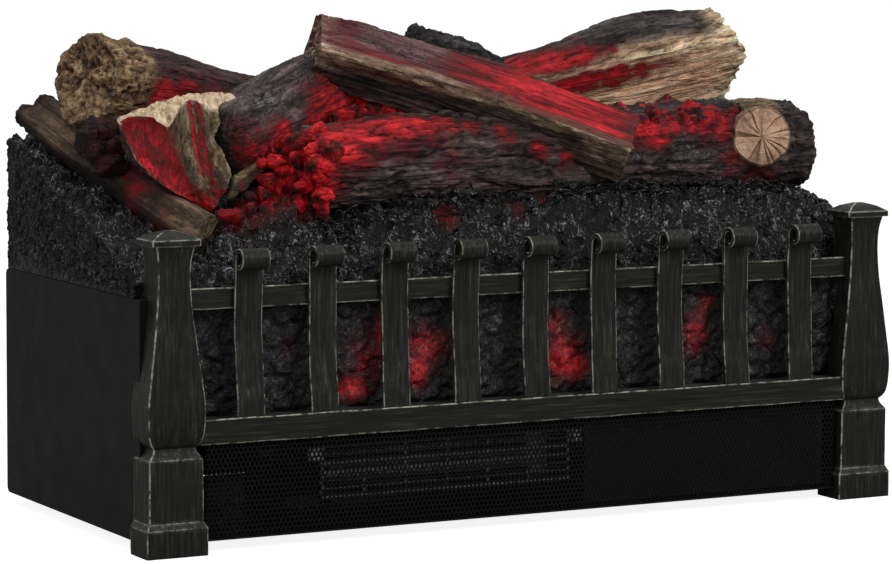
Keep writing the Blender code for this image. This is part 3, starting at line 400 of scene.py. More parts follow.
def char_material(name):
    """Crinkled black resin: near black, with winding crests that catch the light as grey lines."""
    m = material_nodes(name, specular=0.12)
    folds = m.lines(105.0, (1, 1, 0.7), 15.0, 1.8)
    fine = m.lines(270.0, (1, 1, 0.8), 11.0, 1.4)
    grit = m.grain(900.0, (1, 1, 1), 3.0, 0.7)
    shade = m.grain(55.0, (1, 1, 1), 3.0)
    light = (folds * 0.45 + fine * 0.55) * m.ramp(grit, (0.36, 0.45), (0.62, 1.0))
    # Painted glints: the winding lines are painted up to a pale grey
    base = m.ramp(light, (0.08, (6, 6, 6)), (0.34, (20, 20, 20)), (0.58, (52, 52, 53)),
                  (0.84, (140, 140, 143)))
    base = m.mix(m.ramp(shade, (0.36, 0.72), (0.60, 0.0)), base, (8, 8, 9))
    # Painted glints: raised crests, by the mask named crest, are painted pale grey
    base = m.mix(m.mask("crest") * m.ramp(light, (0.30, 0.0), (0.75, 0.8)), base, (150, 150, 153))
    base = m.embers(base, m.mix(0.5, m.grain(300.0), light), (196, 44, 46), 0.30)
    height = folds + (fine * 0.6 + grit * 0.5)
    return m.surface(base, m.ramp(light, (0.1, 0.62), (0.7, 0.40)), height, 0.0009, 0.8)


def wood_material(name, bark, face, pale, scale=150.0, fissure=0.85):
    """Charred wood that runs along X: bark, split faces, pale cuts, grey ash and a red heat from inside."""
    m = material_nodes(name, specular=0.12, has_grain=True)
    grain = m.grain(scale, (0.09, 1, 1), 6.0, 0.72, 0.25)
    lumps = m.grain(scale * 1.6, (0.55, 1, 1), 5.0, 0.7, 0.3)
    speckle = m.grain(scale * 5.5, (0.6, 1, 1), 3.0, 0.75)
    fissures = m.lines(scale * 0.8, (0.13, 1, 1), 18.0, 0.5)
    wrinkles = m.lines(scale * 1.9, (0.7, 1, 1), 11.0, 1.0)
    mixed = m.mix(0.35, grain, lumps)
    halved = m.mix(0.5, grain, lumps)
    stops = (0.39, 0.50, 0.62)
    outside, inside = (m.ramp(mixed, *zip(stops, colours)) for colours in (BARKS[bark], FACES[face]))
    base = m.mix(m.mask("face"), outside, inside)
    base = m.mix(m.mask("pale"), base, m.ramp(halved, *zip((0.39, 0.50, 0.61), PALES[pale])))
    ashes = m.ramp(wrinkles * speckle, *zip((0.05, 0.30, 0.62), ASHES))
    base = m.mix(m.mask("ash") * m.ramp(speckle, (0.40, 0.25), (0.56, 1.0)), base, ashes)
    clear = 1.0 - m.mask("pale") * 0.65
    split = fissures * clear * m.ramp(speckle, (0.38, 0.35), (0.60, fissure))
    base = m.mix(split, base, (15, 10, 10))
    base = m.mix(m.mask("dark") * 0.92, base, (15, 13, 14))
    base = m.embers(base, halved - split * 0.22, (212, 62, 58), 0.42)
    height = (grain * 1.5 + speckle * 0.6) + (wrinkles * 0.25 - fissures * 0.7)
    return m.surface(base, m.ramp(grain, (0.3, 0.82), (0.7, 0.58)), height, 0.0012, 1.0)


# Meshes

def quads(corners):
    """Faces from four arrays of point numbers."""
    return np.stack(corners, -1).reshape(-1, 4).tolist()


def loop_faces(rows, columns, closed=True):
    """Quads of a grid of points, rows by columns, that may close on itself along the columns."""
    i = np.arange(rows - 1)[:, None] * columns
    j = np.arange(columns if closed else columns - 1)[None, :]
    after = (j + 1) % columns
    return quads([i + j, i + after, i + columns + after, i + columns + j])


def add_object(name, mesh, material, replaced):
    mesh.materials.append(material)
    piece = bpy.data.objects.new(name, mesh)
    bpy.context.scene.collection.objects.link(piece)
    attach(piece, "case")
    if replaced:
        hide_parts(replaced)
    return piece


def make_piece(name, points, faces, material, masks, replaced=None, sharp=None, matrix=None):
    """A closed mesh as a piece of the object. Points are in the case corner's frame, or in matrix's.

    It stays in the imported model's box, and keeps its own points as the places of its grain.
    """
    mesh = bpy.data.meshes.new(name)
    turned = np.array(matrix or Matrix.Translation(Vector(CORNER)))
    places = np.clip(points @ turned[:3, :3].T + turned[:3, 3], BOX_LOW, BOX_HIGH)
    mesh.from_pydata(places.tolist(), [], faces)
    grain = mesh.attributes.new("grain", "FLOAT_VECTOR", "POINT")
    grain.data.foreach_set("vector", points.astype(np.float32).ravel())
    for key, values in masks.items():
        values = np.broadcast_to(unit(values), len(points))
        mesh.attributes.new(key, "FLOAT", "POINT").data.foreach_set("value", values.astype(np.float32))
    bm = bmesh.new()
    bm.from_mesh(mesh)
    bmesh.ops.recalc_face_normals(bm, faces=bm.faces)
    bm.to_mesh(mesh)
    bm.free()
    mesh.shade_smooth()
    if sharp is not None:
        mesh.set_sharp_from_angle(angle=math.radians(sharp))
    add_object(name, mesh, material, replaced)


def tube_of_loops(loops):
    """Points and faces of a solid through closed loops of points, with flat ends."""
    loops = np.asarray(loops)
    rows, columns, _ = loops.shape
    ends = [list(range(columns))[::-1], list(range((rows - 1) * columns, rows * columns))]
    return loops.reshape(-1, 3), loop_faces(rows, columns) + ends


def own_frame(start, end):
    """The axes of a frame with X from start to end and Z upwards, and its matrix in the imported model."""
    run = (end - start) / np.linalg.norm(end - start)
    side = np.cross(run, (0, 0, 1))
    side /= np.linalg.norm(side)
    axes = np.array([run, -side, np.cross(side, run)])
    rows = [list(axes[:, k]) + [start[k] + CORNER[k]] for k in range(3)]
    return axes, Matrix(rows + [[0, 0, 0, 1]])


def rounded_section(half_u, half_v, radius, steps):
    """A rectangle with round corners, as (u, v) points, and how much wear and painted highlight each has:
    most in a corner's middle.
    """
    points = []
    edge = []
    for quarter, (su, sv) in enumerate(((1, 1), (-1, 1), (-1, -1), (1, -1))):
        for step in range(steps + 1):
            angle = math.pi / 2 * (quarter + step / steps)
            points.append((su * (half_u - radius) + radius * math.cos(angle),
                           sv * (half_v - radius) + radius * math.sin(angle)))
            edge.append(1.0 if 0 < step < steps else 0.15)
    return np.array(points), edge


def fill_section(points, edge, shares):
    """Extra points on a closed section: for each point k, shares of the way to the next."""
    out = []
    marks = []
    for k, here in enumerate(points):
        run = points[(k + 1) % len(points)] - here
        for t in [0.0, *shares(k, np.linalg.norm(run))]:
            out.append(here + run * t)
            marks.append(edge[k] if t == 0 else 0.0)
    return np.array(out), np.array(marks)


def spaced(spacing):
    """Shares for fill_section: as near to each other as spacing, on straight stretches."""
    room = 0.0003

    def shares(k, run):
        if run <= 3 * room:
            return []
        return np.linspace(room / run, 1 - room / run, max(1, int(run / spacing)) + 1)

    return shares


# The fire basket

# Heights of the post's ledges, as shares of its height, where its edges have wear and a painted highlight
LEDGES = (0.086, 0.105, 0.300, 0.954, 0.973)
# The post is cut back behind this depth between the case's base and its rim
NOTCH_DEPTH = 0.0166
NOTCH_FOOT = 0.0067


def post_rows():
    """Sections of the post, smooth along the baluster and straight elsewhere."""
    curved = [row for row in POST_SECTIONS if CURVED_FROM <= row[0] <= CURVED_TO]
    low = [row for row in POST_SECTIONS if row[0] < CURVED_FROM]
    high = [row for row in POST_SECTIONS if row[0] > CURVED_TO]
    rows = []
    for near, far in zip(low, low[1:] + [curved[0]]):
        count = max(2, int((far[0] - near[0]) * POST_HEIGHT / 0.002))
        rows += [np.array(near) + (np.array(far) - np.array(near)) * step / count for step in range(count)]
    rows += list(smooth_line(curved, 8))
    for near, far in zip([curved[-1]] + high, high):
        rows += [np.array(near) + (np.array(far) - np.array(near)) * step / 4 for step in (1, 2, 3, 4)]
    rows = np.array(rows)
    beside = [ledge + side for ledge in LEDGES for side in (-0.0022, 0.0022)]
    heights = np.unique(np.concatenate([rows[:, 0], beside]))
    heights = heights[heights <= 1]
    return np.column_stack([heights] + [np.interp(heights, rows[:, 0], rows[:, k]) for k in (1, 2, 3)])


def add_metal(name, loops, edge, material, dents, axes, sharp=40):
    """A cast or forged piece through loops of points, dented by noise along some axes."""
    points, faces = tube_of_loops(loops)
    points = points + dents(points)[:, None] * np.array(axes)
    kind = "cast" if "post" in name else "forged"
    make_piece(f"{name}_{kind}", points, faces, material, {"edge": edge}, name, sharp)


def add_post(name, centre, material):
    outer = 0.0030 - GAP
    loops = []
    edges = []
    rows = post_rows()
    for height, width, front, back in rows:
        half_u = width * POST_WIDTH / 2
        half_v = (back - front) * POST_DEPTH / 2
        section, edge = rounded_section(half_u, half_v, min(0.0009, half_u * 0.3), 3)

        def shares(k, run):
            """As many points on the straight stretches at every height."""
            room = min(0.2, 0.0003 / run)
            return np.linspace(room, 1 - room, (9, 6)[k // 4 % 2]) if k % 4 == 3 else []

        section, edge = fill_section(section, edge, shares)
        z = height * POST_HEIGHT
        loop = np.column_stack([section[:, 0] + centre, section[:, 1] + (back + front) / 2 * POST_DEPTH,
                                np.full(len(section), z)])
        if NOTCH_FOOT < z < RIM:
            inward = loop[:, 0] > outer if centre < WIDTH / 2 else loop[:, 0] < WIDTH - outer
            loop[:, 1] = np.where(inward, np.minimum(loop[:, 1], NOTCH_DEPTH), loop[:, 1])
        loops.append(loop)
        edges.append(edge)
    # The ledges' edges also get wear and a painted highlight
    near_ledge = np.min(np.abs(rows[:, :1] - np.array(LEDGES)), axis=1) * POST_HEIGHT
    ring = hill(near_ledge, 0.0003)
    edge = np.maximum(np.array(edges), ring[:, None] * 0.8).reshape(-1)
    add_metal(name, loops, edge, material, lambda p: 0.00022 * noise(p, 0.006, 3, 2), [1, 1, 0], 32)


def bar_line():
    rise = SCROLL_Z - BAR_FOOT
    line = smooth_line([(y * rise, BAR_FOOT + z * rise) for y, z in BAR_LINE], 8)
    t = np.linspace(0, 1, 49)
    radius = SCROLL_RADIUS * (1 + (SCROLL_TIP - 1) * t * t)
    turn = np.column_stack([SCROLL_Y + radius * np.cos(SCROLL_TURN * t),
                            SCROLL_Z + radius * np.sin(SCROLL_TURN * t)])
    return np.concatenate([line, turn])


def add_bar(number, material):
    line = bar_line()
    centre = WIDTH / 2 + (number - (BAR_COUNT - 1) / 2) * BAR_PITCH
    tangent = np.gradient(line, axis=0)
    tangent /= np.linalg.norm(tangent, axis=1)[:, None]
    section, edge = fill_section(*rounded_section(BAR_WIDTH / 2, BAR_THICK / 2, 0.00075, 2), spaced(0.0015))
    u, v = section.T
    loops = []
    for place, way, far in zip(line, tangent, walked_along(line)):
        x = centre + u + 0.0003 * math.sin(far * 90 + number * 2.1)
        loops.append(np.column_stack([x, place[0] + way[1] * v, place[1] - way[0] * v]))
    add_metal(f"grate_bar_{number + 1}", loops, np.tile(edge, len(line)), material,
              lambda p: 0.00018 * noise(p + number * 0.1, 0.005, 9, 2), [0, 1, 0])


def add_rail(name, box, material, seed):
    low, high = (np.array(corner) for corner in box)
    middle = (low + high) / 2
    half = (high - low) / 2
    section, edge = fill_section(*rounded_section(half[1], half[2], 0.0008, 3), spaced(0.0015))
    xs = np.linspace(low[0], high[0], 260)
    loops = [np.column_stack([np.full(len(section), x), section + middle[1:]]) for x in xs]
    add_metal(name, loops, np.tile(edge, len(xs)), material,
              lambda p: 0.00022 * noise(p, 0.007, seed, 2, (2.2, 1, 1)), [0, 1, 1])


def add_basket():
    upright = antique_black("antique_black_upright", (620, 620, 24))
    level = antique_black("antique_black_level", (24, 620, 620))
    add_post("left_post", POST_WIDTH / 2, upright)
    add_post("right_post", WIDTH - POST_WIDTH / 2, upright)
    add_rail("bottom_rail", BOTTOM_RAIL, level, 4)
    add_rail("top_rail", TOP_RAIL, level, 5)
    for number in range(BAR_COUNT):
        add_bar(number, upright)


# The grille

GRILLE_X = (0.0393, WIDTH - 0.0393)
GRILLE_Y = (0.0064, 0.0070)
GRILLE_Z = (0.0085, 0.0762)
SLOT_PITCH = 0.0029
SLOT_WEB = 0.00062


def add_grille():
    """A sheet of upright slots in staggered rows, each slot cut through."""
    left, right = GRILLE_X
    bottom, top = GRILLE_Z
    columns = int((right - left) / SLOT_PITCH)
    rows = int((top - bottom) / SLOT_PITCH)
    half_pitch = (right - left) / (columns + 0.5) / 2
    third_row = (top - bottom) / (rows + 0.34) / 3
    bm = bmesh.new()
    corners = {}

    def corner(i, j):
        """The comb's corners: i counts half pitches across, j thirds of a row up."""
        if (i, j) not in corners:
            corners[i, j] = bm.verts.new((left + i * half_pitch + CORNER[0], GRILLE_Y[0] + CORNER[1],
                                          bottom + j * third_row))
        return corners[i, j]

    for row in range(rows):
        for column in range(columns):
            i = 2 * column + row % 2
            j = 3 * row
            around = ((1, 0), (2, 1), (2, 3), (1, 4), (0, 3), (0, 1))
            bm.faces.new([corner(i + di, j + dj) for di, dj in around])
    bm.normal_update()
    bmesh.ops.inset_individual(bm, faces=bm.faces[:], thickness=SLOT_WEB, use_even_offset=True)
    bmesh.ops.delete(bm, geom=[face for face in bm.faces if len(face.verts) == 6], context="FACES")
    mesh = bpy.data.meshes.new("slotted_grille")
    bm.to_mesh(mesh)
    bm.free()
    paint = plain("black_mesh_paint", (7, 7, 8), 0.55, 0.0, 260.0, 0.3, specular=0.06)
    piece = add_object("slotted_grille", mesh, paint, "mesh_grille")
    thick = piece.modifiers.new("sheet", "SOLIDIFY")
    thick.thickness = GRILLE_Y[1] - GRILLE_Y[0]
    thick.offset = 1


# The ember bed and the panel behind the bars

def table_value(across, along):
    """A smooth height between the places of the bed's table."""
    table = np.array(BED_HEIGHTS)
    columns = np.array(BED_X)
    rows = np.array(BED_Y)
    i = np.clip(np.searchsorted(columns, across, side="right") - 1, 0, len(columns) - 2)
    j = np.clip(np.searchsorted(rows, along, side="right") - 1, 0, len(rows) - 2)
    s = ease((across - columns[i]) / (columns[i + 1] - columns[i]))
    t = ease((along - rows[j]) / (rows[j + 1] - rows[j]))
    near = table[j, i] * (1 - s) + table[j, i + 1] * s
    far = table[j + 1, i] * (1 - s) + table[j + 1, i + 1] * s
    return near * (1 - t) + far * t


def chip_height(x, y):
    """How far the crumpled bed is over the smooth one at one place, as a share of a chip's rise."""
    place_in = Vector((x, y, 0)) / CHIP_LENGTH
    middle = chips.voronoi(place_in)[1][0]
    own = chips.cell_vector(middle) - Vector((0.5, 0.5, 0.5))
    away = place_in - middle
    return own.z + CHIP_LEAN * (away.x * own.x + away.y * own.y)


def bed_height(x, y):
    across = (x - CASE_LEFT) / (CASE_RIGHT - CASE_LEFT)
    along = (y - BED_FRONT) / (BED_BACK - BED_FRONT)
    rise = table_value(across, along) * BED_RISE
    crumple = np.array([chip_height(*place) for place in zip(x.tolist(), y.tolist())])
    return RIM + rise + np.minimum(1, rise / (3 * CHIP_RISE)) * CHIP_RISE * crumple


def bed_front_line(x):
    behind = POST_DEPTH + 0.001
    from_post = np.minimum(x, WIDTH - x) - POST_WIDTH
    return behind + (BED_FRONT - behind) * ease(from_post / 0.006)


# Where the bed glows: x, y, z and reach in millimetres, and strength
BED_GLOWS = (
    (112, 79, 199, 18, 0.75), (94, 73, 191, 18, 0.55), (128, 70, 201, 17, 0.6), (46, 100, 196, 10, 0.6),
    (50, 78, 186, 10, 0.75), (36, 122, 208, 9, 0.45), (70, 142, 210, 24, 0.6), (214, 42, 184, 10, 0.85),
    (262, 43, 188, 9, 0.7), (285, 48, 192, 8, 0.65), (246, 46, 190, 6, 0.6), (352, 47, 192, 8, 0.6),
    (330, 100, 210, 30, 0.7), (230, 105, 210, 30, 0.7), (160, 110, 212, 30, 0.7), (420, 110, 215, 25, 0.6),
    (140, 185, 219, 26, 0.4), (300, 190, 214, 30, 0.45), (420, 195, 214, 22, 0.35),
)


def glow_at(points, spots, seed):
    """How strongly each place glows: the brightest of the spots, broken up by noise."""
    total = np.zeros(len(points))
    broken = 0.30
    for *place, reach, strength in spots:
        distance = np.linalg.norm(points - np.array(place) / 1000, axis=1)
        total = np.maximum(total, strength * np.exp(-(distance / (reach / 1000)) ** 2 * 0.8))
    patches = 0.5 + 0.5 * noise(points, 0.0065, seed, 3)
    return unit(total * (1 + 0.5 * broken) - broken * patches)


def crinkle(points, size, seed):
    """Height of small torn facets that lie over each other, each tilted its own way."""
    total = np.zeros(len(points))
    for level, share in enumerate((1.0, 0.5)):
        warp = 0.4 * size * share * noise(points, size * share * 1.6, seed + 3 + level)
        away, number, border = cells(points + warp[:, None], size * share, seed + level)
        lean = np.stack([lattice(number, number * 0 + k, number * 0 + 5, seed) for k in range(3)], -1)
        rise = lattice(number, number * 0, number * 0 + 7, seed)
        total += 0.42 * (away * lean).sum(1) + 0.10 * size * share * rise
        total -= 0.06 * size * share * (border < 0.10)
    return total


def grid_loop(index):
    """The border of a grid of point numbers, once round."""
    return np.concatenate([index[0, :-1], index[:-1, -1], index[-1, :0:-1], index[:0:-1, 0]])


def ring_faces(rings):
    """Quads between closed rings of point numbers."""
    return [face for ring, below in zip(rings, rings[1:])
            for face in quads([ring, below, np.roll(below, -1), np.roll(ring, -1)])]


def add_bed():
    columns, rows = 560, 236
    t, across = grid(rows, columns)
    x = np.tile(np.linspace(CASE_LEFT, CASE_RIGHT, columns), rows)
    front = bed_front_line(x)
    y = front + t * (BED_BACK - front)
    z = bed_height(x, y)
    flat = np.column_stack([x, y, z])
    edge_room = np.minimum(np.minimum(x - CASE_LEFT, CASE_RIGHT - x), np.minimum(y - front, BED_BACK - y))
    lift = 1.25 * crinkle(flat, 0.0078, 21) * (0.35 + 0.65 * ease(edge_room / 0.004))
    lift += 0.0004 * noise(flat, 0.0018, 30, 2)
    top = np.column_stack([x, y, z + lift])
    loop = grid_loop(np.arange(rows * columns).reshape(rows, columns))
    steps = 60
    skirt = []
    border = top[loop]
    outward = np.column_stack([np.gradient(border[:, 1]), -np.gradient(border[:, 0])])
    outward /= np.maximum(1e-9, np.linalg.norm(outward, axis=1))[:, None]
    for step in range(1, steps + 1):
        s = step / steps
        flat = np.column_stack([border[:, 0], border[:, 1], border[:, 2] * (1 - s) + RIM * s])
        push = crinkle(flat, 0.0050, 37) * 0.8 * min(1, 6 * (1 - s)) - 0.0006
        flat[:, :2] += outward * push[:, None]
        skirt.append(flat)
    points = np.concatenate([top] + skirt)
    rings = [loop, *(len(top) + np.arange(steps * len(loop)).reshape(steps, len(loop)))]
    faces = loop_faces(rows, columns, False) + ring_faces(rings) + [rings[-1].tolist()]
    fixed = points[:, 2] <= RIM + 1e-6
    points[:, 2] = np.where(fixed, RIM, np.maximum(points[:, 2], RIM + 0.0002))
    crest = np.zeros(len(points))
    # Painted glints: the crumple's raised crests are painted pale
    crest[:len(top)] = unit(lift / 0.0012) ** 2
    masks = {"glow": glow_at(points, BED_GLOWS, 5), "crest": crest}
    make_piece("crinkled_bed", points, faces, char_material("char_bed"), masks, "ember_bed", 60)


SHARDS = 1100
HEAPED_FROM = 800


def add_shards():
    """Loose slivers of charred wood, bent and lying at all angles on the bed."""
    rng = np.random.default_rng(11)
    points = []
    faces = []
    crest = []
    rings = 6
    for number in range(SHARDS):
        x = rng.uniform(0.012, WIDTH - 0.012)
        along = rng.uniform(0, 1) ** 1.9
        y = bed_front_line(np.array([x]))[0] + 0.004 + along * 0.185
        heaped = number >= HEAPED_FROM
        if heaped:
            x = rng.uniform(0.130, 0.462)
            y = rng.uniform(0.034, 0.054)
        length = rng.uniform(0.004, 0.012) * (1.7 if number % 9 == 0 else 1)
        width = rng.uniform(0.0009, 0.0024) * (1.6 if number % 11 == 0 else 1)
        thick = rng.uniform(0.0004, 0.0009)
        turn = rng.uniform(0, 2 * math.pi)
        pitch = rng.normal(0, 0.30)
        roll = rng.normal(0, 0.7)
        bend = rng.normal(0, 0.16)
        z = bed_height(np.array([x]), np.array([y]))[0] + (rng.uniform(0.001, 0.008) if heaped else 0.0011)
        spin = Matrix.Rotation(turn, 3, "Z") @ Matrix.Rotation(pitch, 3, "Y") @ Matrix.Rotation(roll, 3, "X")
        sliver = []
        for end in 2 * np.arange(rings) / (rings - 1) - 1:
            taper = 1 - 0.65 * abs(end) ** 3
            for su, sv in ((-1, -1), (1, -1), (1, 1), (-1, 1)):
                local = Vector((end * length / 2, su * width / 2 * taper * rng.uniform(0.8, 1.1),
                                sv * thick / 2 + bend * length * (0.5 - end * end)))
                sliver.append(np.array([x, y, z]) + np.array(spin @ local))
                # Painted glints: the top of every third sliver is painted pale
                crest.append(0.75 if sv > 0 and number % 3 == 0 else 0.1)
        own_faces = tube_of_loops(np.array(sliver).reshape(rings, 4, 3))[1]
        faces += [[index + len(points) for index in face] for face in own_faces]
        points += sliver
    points = np.array(points)
    masks = {"glow": glow_at(points, BED_GLOWS, 6), "crest": np.array(crest)}
    make_piece("loose_chips", points, faces, char_material("char_chips"), masks, sharp=30)


# Where the panel behind the bars glows: x, z, reach across and reach up in millimetres, and strength
PANEL_GLOWS = (
    (152, 106, 16, 22, 0.42), (143, 90, 12, 9, 0.8), (162, 118, 6, 20, 0.62), (187, 99, 10, 14, 0.8),
    (192, 112, 18, 15, 0.6), (288, 101, 16, 16, 0.8), (297, 94, 11, 10, 0.95), (284, 120, 13, 13, 0.45),
    (385, 112, 15, 19, 0.5), (392, 128, 9, 10, 0.4), (100, 116, 8, 10, 0.22), (437, 104, 10, 12, 0.3),
)
PANEL_X = (0.0048, WIDTH - 0.0048)
PANEL_Y = (0.0195, 0.0270)
PANEL_Z = (0.0785, 0.1478)


def add_ember_panel():
    """The lumpy lava-like panel behind the bars."""
    columns, rows = 480, 66
    x = np.tile(np.linspace(*PANEL_X, columns), rows)
    z = np.repeat(np.linspace(*PANEL_Z, rows), columns)
    flat = np.column_stack([x, x * 0, z])
    swirl = 0.004 * noise(flat, 0.012, 41, 2)
    folds = ridges(flat + swirl[:, None], 0.0105, 42, 2)
    relief = 0.0036 * (1 - folds) + 0.0010 * noise(flat, 0.0035, 43, 2)
    edge = np.minimum(np.minimum(x - PANEL_X[0], PANEL_X[1] - x), np.minimum(z - PANEL_Z[0], PANEL_Z[1] - z))
    y = PANEL_Y[0] + 0.0042 - np.clip(relief, 0, 0.0040) * ease(edge / 0.003)
    front = np.column_stack([x, y, z])
    loop = grid_loop(np.arange(rows * columns).reshape(rows, columns))
    behind = front[loop].copy()
    behind[:, 1] = PANEL_Y[1]
    points = np.concatenate([front, behind])
    ring = np.arange(len(loop)) + len(front)
    faces = loop_faces(rows, columns, False) + ring_faces([loop, ring]) + [ring.tolist()]
    glow = np.zeros(len(points))
    for gx, gz, reach_x, reach_z, strength in PANEL_GLOWS:
        far = (((points[:, 0] - gx / 1000) / (reach_x / 1000)) ** 2
               + ((points[:, 2] - gz / 1000) / (reach_z / 1000)) ** 2)
        glow = np.maximum(glow, strength * np.exp(-far))
    glow = glow * 1.1 - 0.22 * (0.5 + 0.5 * noise(points, 0.004, 44, 3))
    m = material_nodes("lava_panel", specular=0.25)
    grain = m.grain(300.0, (1, 1, 1), 5.0, 0.65, 0.5)
    folds = m.lines(170.0, (1, 1, 1), 13.0, 1.2)
    base = m.ramp(grain, (0.36, (7, 7, 8)), (0.52, (18, 18, 20)), (0.70, (42, 42, 45)))
    base = m.embers(m.mix(folds * 0.4, base, (46, 46, 50)), grain, (186, 44, 48), 0.16)
    material = m.surface(base, m.ramp(grain, (0.35, 0.52), (0.7, 0.34)), grain + folds, 0.0006, 0.8)
    make_piece("lava_front", points, faces, material, {"glow": glow}, "front_ember_panel", 60)


# The logs

def pile_point(shares):
    return np.array([shares[0] * WIDTH, shares[1] * DEPTH, RIM + shares[2] * PILE_RISE])


class Log:
    """The surface of one log, in its own frame: X along it, angles from its front side upwards."""

    def __init__(self, name, ends, radius, flats=(), widths=(1, 1), sag=0.0, leans=(0, 0), seed=0,
                 spacing=0.00115, domes=(0, 0)):
        self.name = name
        self.seed = seed
        self.start, end = (pile_point(shares) for shares in ends)
        self.length = np.linalg.norm(end - self.start)
        self.axes, self.matrix = own_frame(self.start, end)
        stations = int(self.length / spacing)
        columns = int(2 * math.pi * radius / spacing)
        cap = int(radius / spacing / 1.2)
        caps = np.linspace(0.04, 1, cap)
        t = np.concatenate([np.zeros(cap - 1), np.linspace(0, 1, stations), np.ones(cap - 1)])
        s = np.concatenate([caps[:-1], np.ones(stations), caps[::-1][1:]])
        self.shape = (len(t), columns)
        self.angle = np.tile(self.even_angles(flats, columns), len(t))
        self.t = np.repeat(t, columns)
        self.s = np.repeat(s, columns)
        width = self.share_of(widths)
        wave = np.sin(3 * self.angle + 5 * self.t + seed) * np.cos(2 * self.angle - 7 * self.t + 2 * seed)
        share, self.side, self.to_corner = self.section(self.angle, flats)
        reach = share * radius * width * (1 + 0.05 * wave)
        self.out = np.column_stack([np.zeros(len(self.t)), -np.cos(self.angle), np.sin(self.angle)])
        across = reach * np.cos(self.angle) * self.s
        upward = reach * np.sin(self.angle) * self.s
        dome = np.where(self.t < 0.5, -domes[0], domes[1]) * radius * np.sqrt(1 - self.s ** 2)
        x = self.t * self.length + (leans[0] * (1 - self.t) + leans[1] * self.t) * across + dome
        z = upward + sag * radius * np.sin(math.pi * self.t)
        self.points = np.column_stack([x, -across, z])
        self.smooth = self.points.copy()
        self.on_cap = np.where(self.s < 1, 1.0, 0.0)
        self.from_start = self.t * self.length
        self.from_end = (1 - self.t) * self.length
        # Angles from -180 to 180: 0 at the front side, 90 on top
        degrees = np.degrees(self.angle)
        self.degrees = np.where(degrees > 180, degrees - 360, degrees)
        self.cracks = np.zeros(len(self.t))
        self.face = self.pale = self.ash = self.dark = self.glow = 0

    def share_of(self, widths):
        """The width at each place, from widths evenly spaced along the log."""
        place_in = self.t * (len(widths) - 1)
        index = np.minimum(place_in.astype(int), len(widths) - 2)
        widths = np.array(widths, float)
        return widths[index] + (widths[index + 1] - widths[index]) * ease(place_in - index)

    @staticmethod
    def section(angle, flats):
        """The section's radius share, which flat each place is on, and how far its corners are."""
        shares = [np.ones(len(angle))]
        for facing, distance in flats:
            cosine = np.cos(angle - math.radians(facing))
            shares.append(np.where(cosine > 0.05, distance / np.maximum(cosine, 0.05), 9.0))
        shares = np.array(shares)
        order = np.sort(shares, axis=0)
        corner = order[1] - order[0] if len(shares) > 1 else np.ones(len(angle))
        return order[0], np.argmin(shares, axis=0), corner

    @staticmethod
    def even_angles(flats, columns):
        """Angles spaced evenly along the outline of the section."""
        fine = np.linspace(0, 2 * math.pi, 2001)
        share = Log.section(fine, flats)[0]
        walked = walked_along(np.column_stack([share * np.cos(fine), share * np.sin(fine)]))
        return np.interp(np.linspace(0, walked[-1], columns, endpoint=False), walked, fine)

    def world(self):
        """The surface in the case corner's frame."""
        return self.start + self.points @ self.axes

    def noise(self, size, seed, octaves=2, long=1):
        """Noise over the smooth log, whose lumps are as long as long times their width."""
        return noise(self.smooth, size, seed, octaves, (long, 1, 1))

    def ridges(self, size, seed, long=1):
        return ridges(self.smooth, size, seed, 2, (long, 1, 1))

    def push(self, amount):
        """Moves the surface outwards on the side and endways on the two ends."""
        self.points += self.out * (amount * (0.15 + 0.85 * self.s ** 3))[:, None]
        endways = np.where(self.t < 0.5, -1.0, 1.0) * amount * self.on_cap
        self.points[:, 0] += endways * 0.9 * ease((1 - self.s) * 6)

    def bark(self, depth=1.0, crack=1.0, long=5.0):
        """Rough bark: broad lumps, strands along the grain and narrow cracks."""
        seed = self.seed
        amount = 0.0010 * self.noise(0.016, seed, 2, 2.0)
        amount += 0.0006 * self.noise(0.0048, seed + 50, 3, long)
        cracks = unit(self.ridges(0.0068, seed + 90, long) - 0.80) * 5
        self.cracks = np.maximum(self.cracks, cracks)
        amount -= 0.0012 * crack * cracks
        return depth * (amount + 0.00028 * self.noise(0.0016, seed + 120, 2, 1.6))

    def plates(self, size, long, rise=0.0006, crack=0.0011, width=0.16):
        """Flakes of bark, each at its own height and leaning its own way, with gaps between them."""
        warp = 0.35 * size * self.noise(size * 1.5, self.seed + 140)
        away, number, border = cells(self.smooth + warp[:, None], size, self.seed + 150, (long, 1, 1))
        gaps = unit(1 - border / width)
        self.cracks = np.maximum(self.cracks, gaps)
        level = lattice(number, number * 0, number * 0 + 3, self.seed)
        lean = lattice(number, number * 0 + 1, number * 0 + 3, self.seed)
        return rise * (level + lean * away[:, 1] / size) - crack * gaps

    def split(self, depth=1.0, step=1.0):
        """A split face: long shallow steps and fine grain lines."""
        amount = 0.0006 * self.noise(0.0055, self.seed + 7, 2, 14) * step
        amount += 0.00030 * self.noise(0.0015, self.seed + 17, 2, 16)
        torn = unit(self.ridges(0.0040, self.seed + 27, 10) - 0.82) * 5
        return depth * (amount - 0.0007 * torn)

    def finish(self, replaced, wood, *colours, **settings):
        faces = tube_of_loops(self.points.reshape(*self.shape, 3))[1]
        masks = {key: getattr(self, key) for key in MASKS}
        material = wood_material(wood, *colours, **settings)
        make_piece(self.name, self.points, faces, material, masks, replaced, 70, self.matrix)


def along(line, shares):
    """Places at shares of a line's length, from millimetres to metres."""
    line = smooth_line(*line)
    walked = walked_along(line)
    return np.column_stack([np.interp(shares * walked[-1], walked, line[:, k]) for k in range(3)]) / 1000


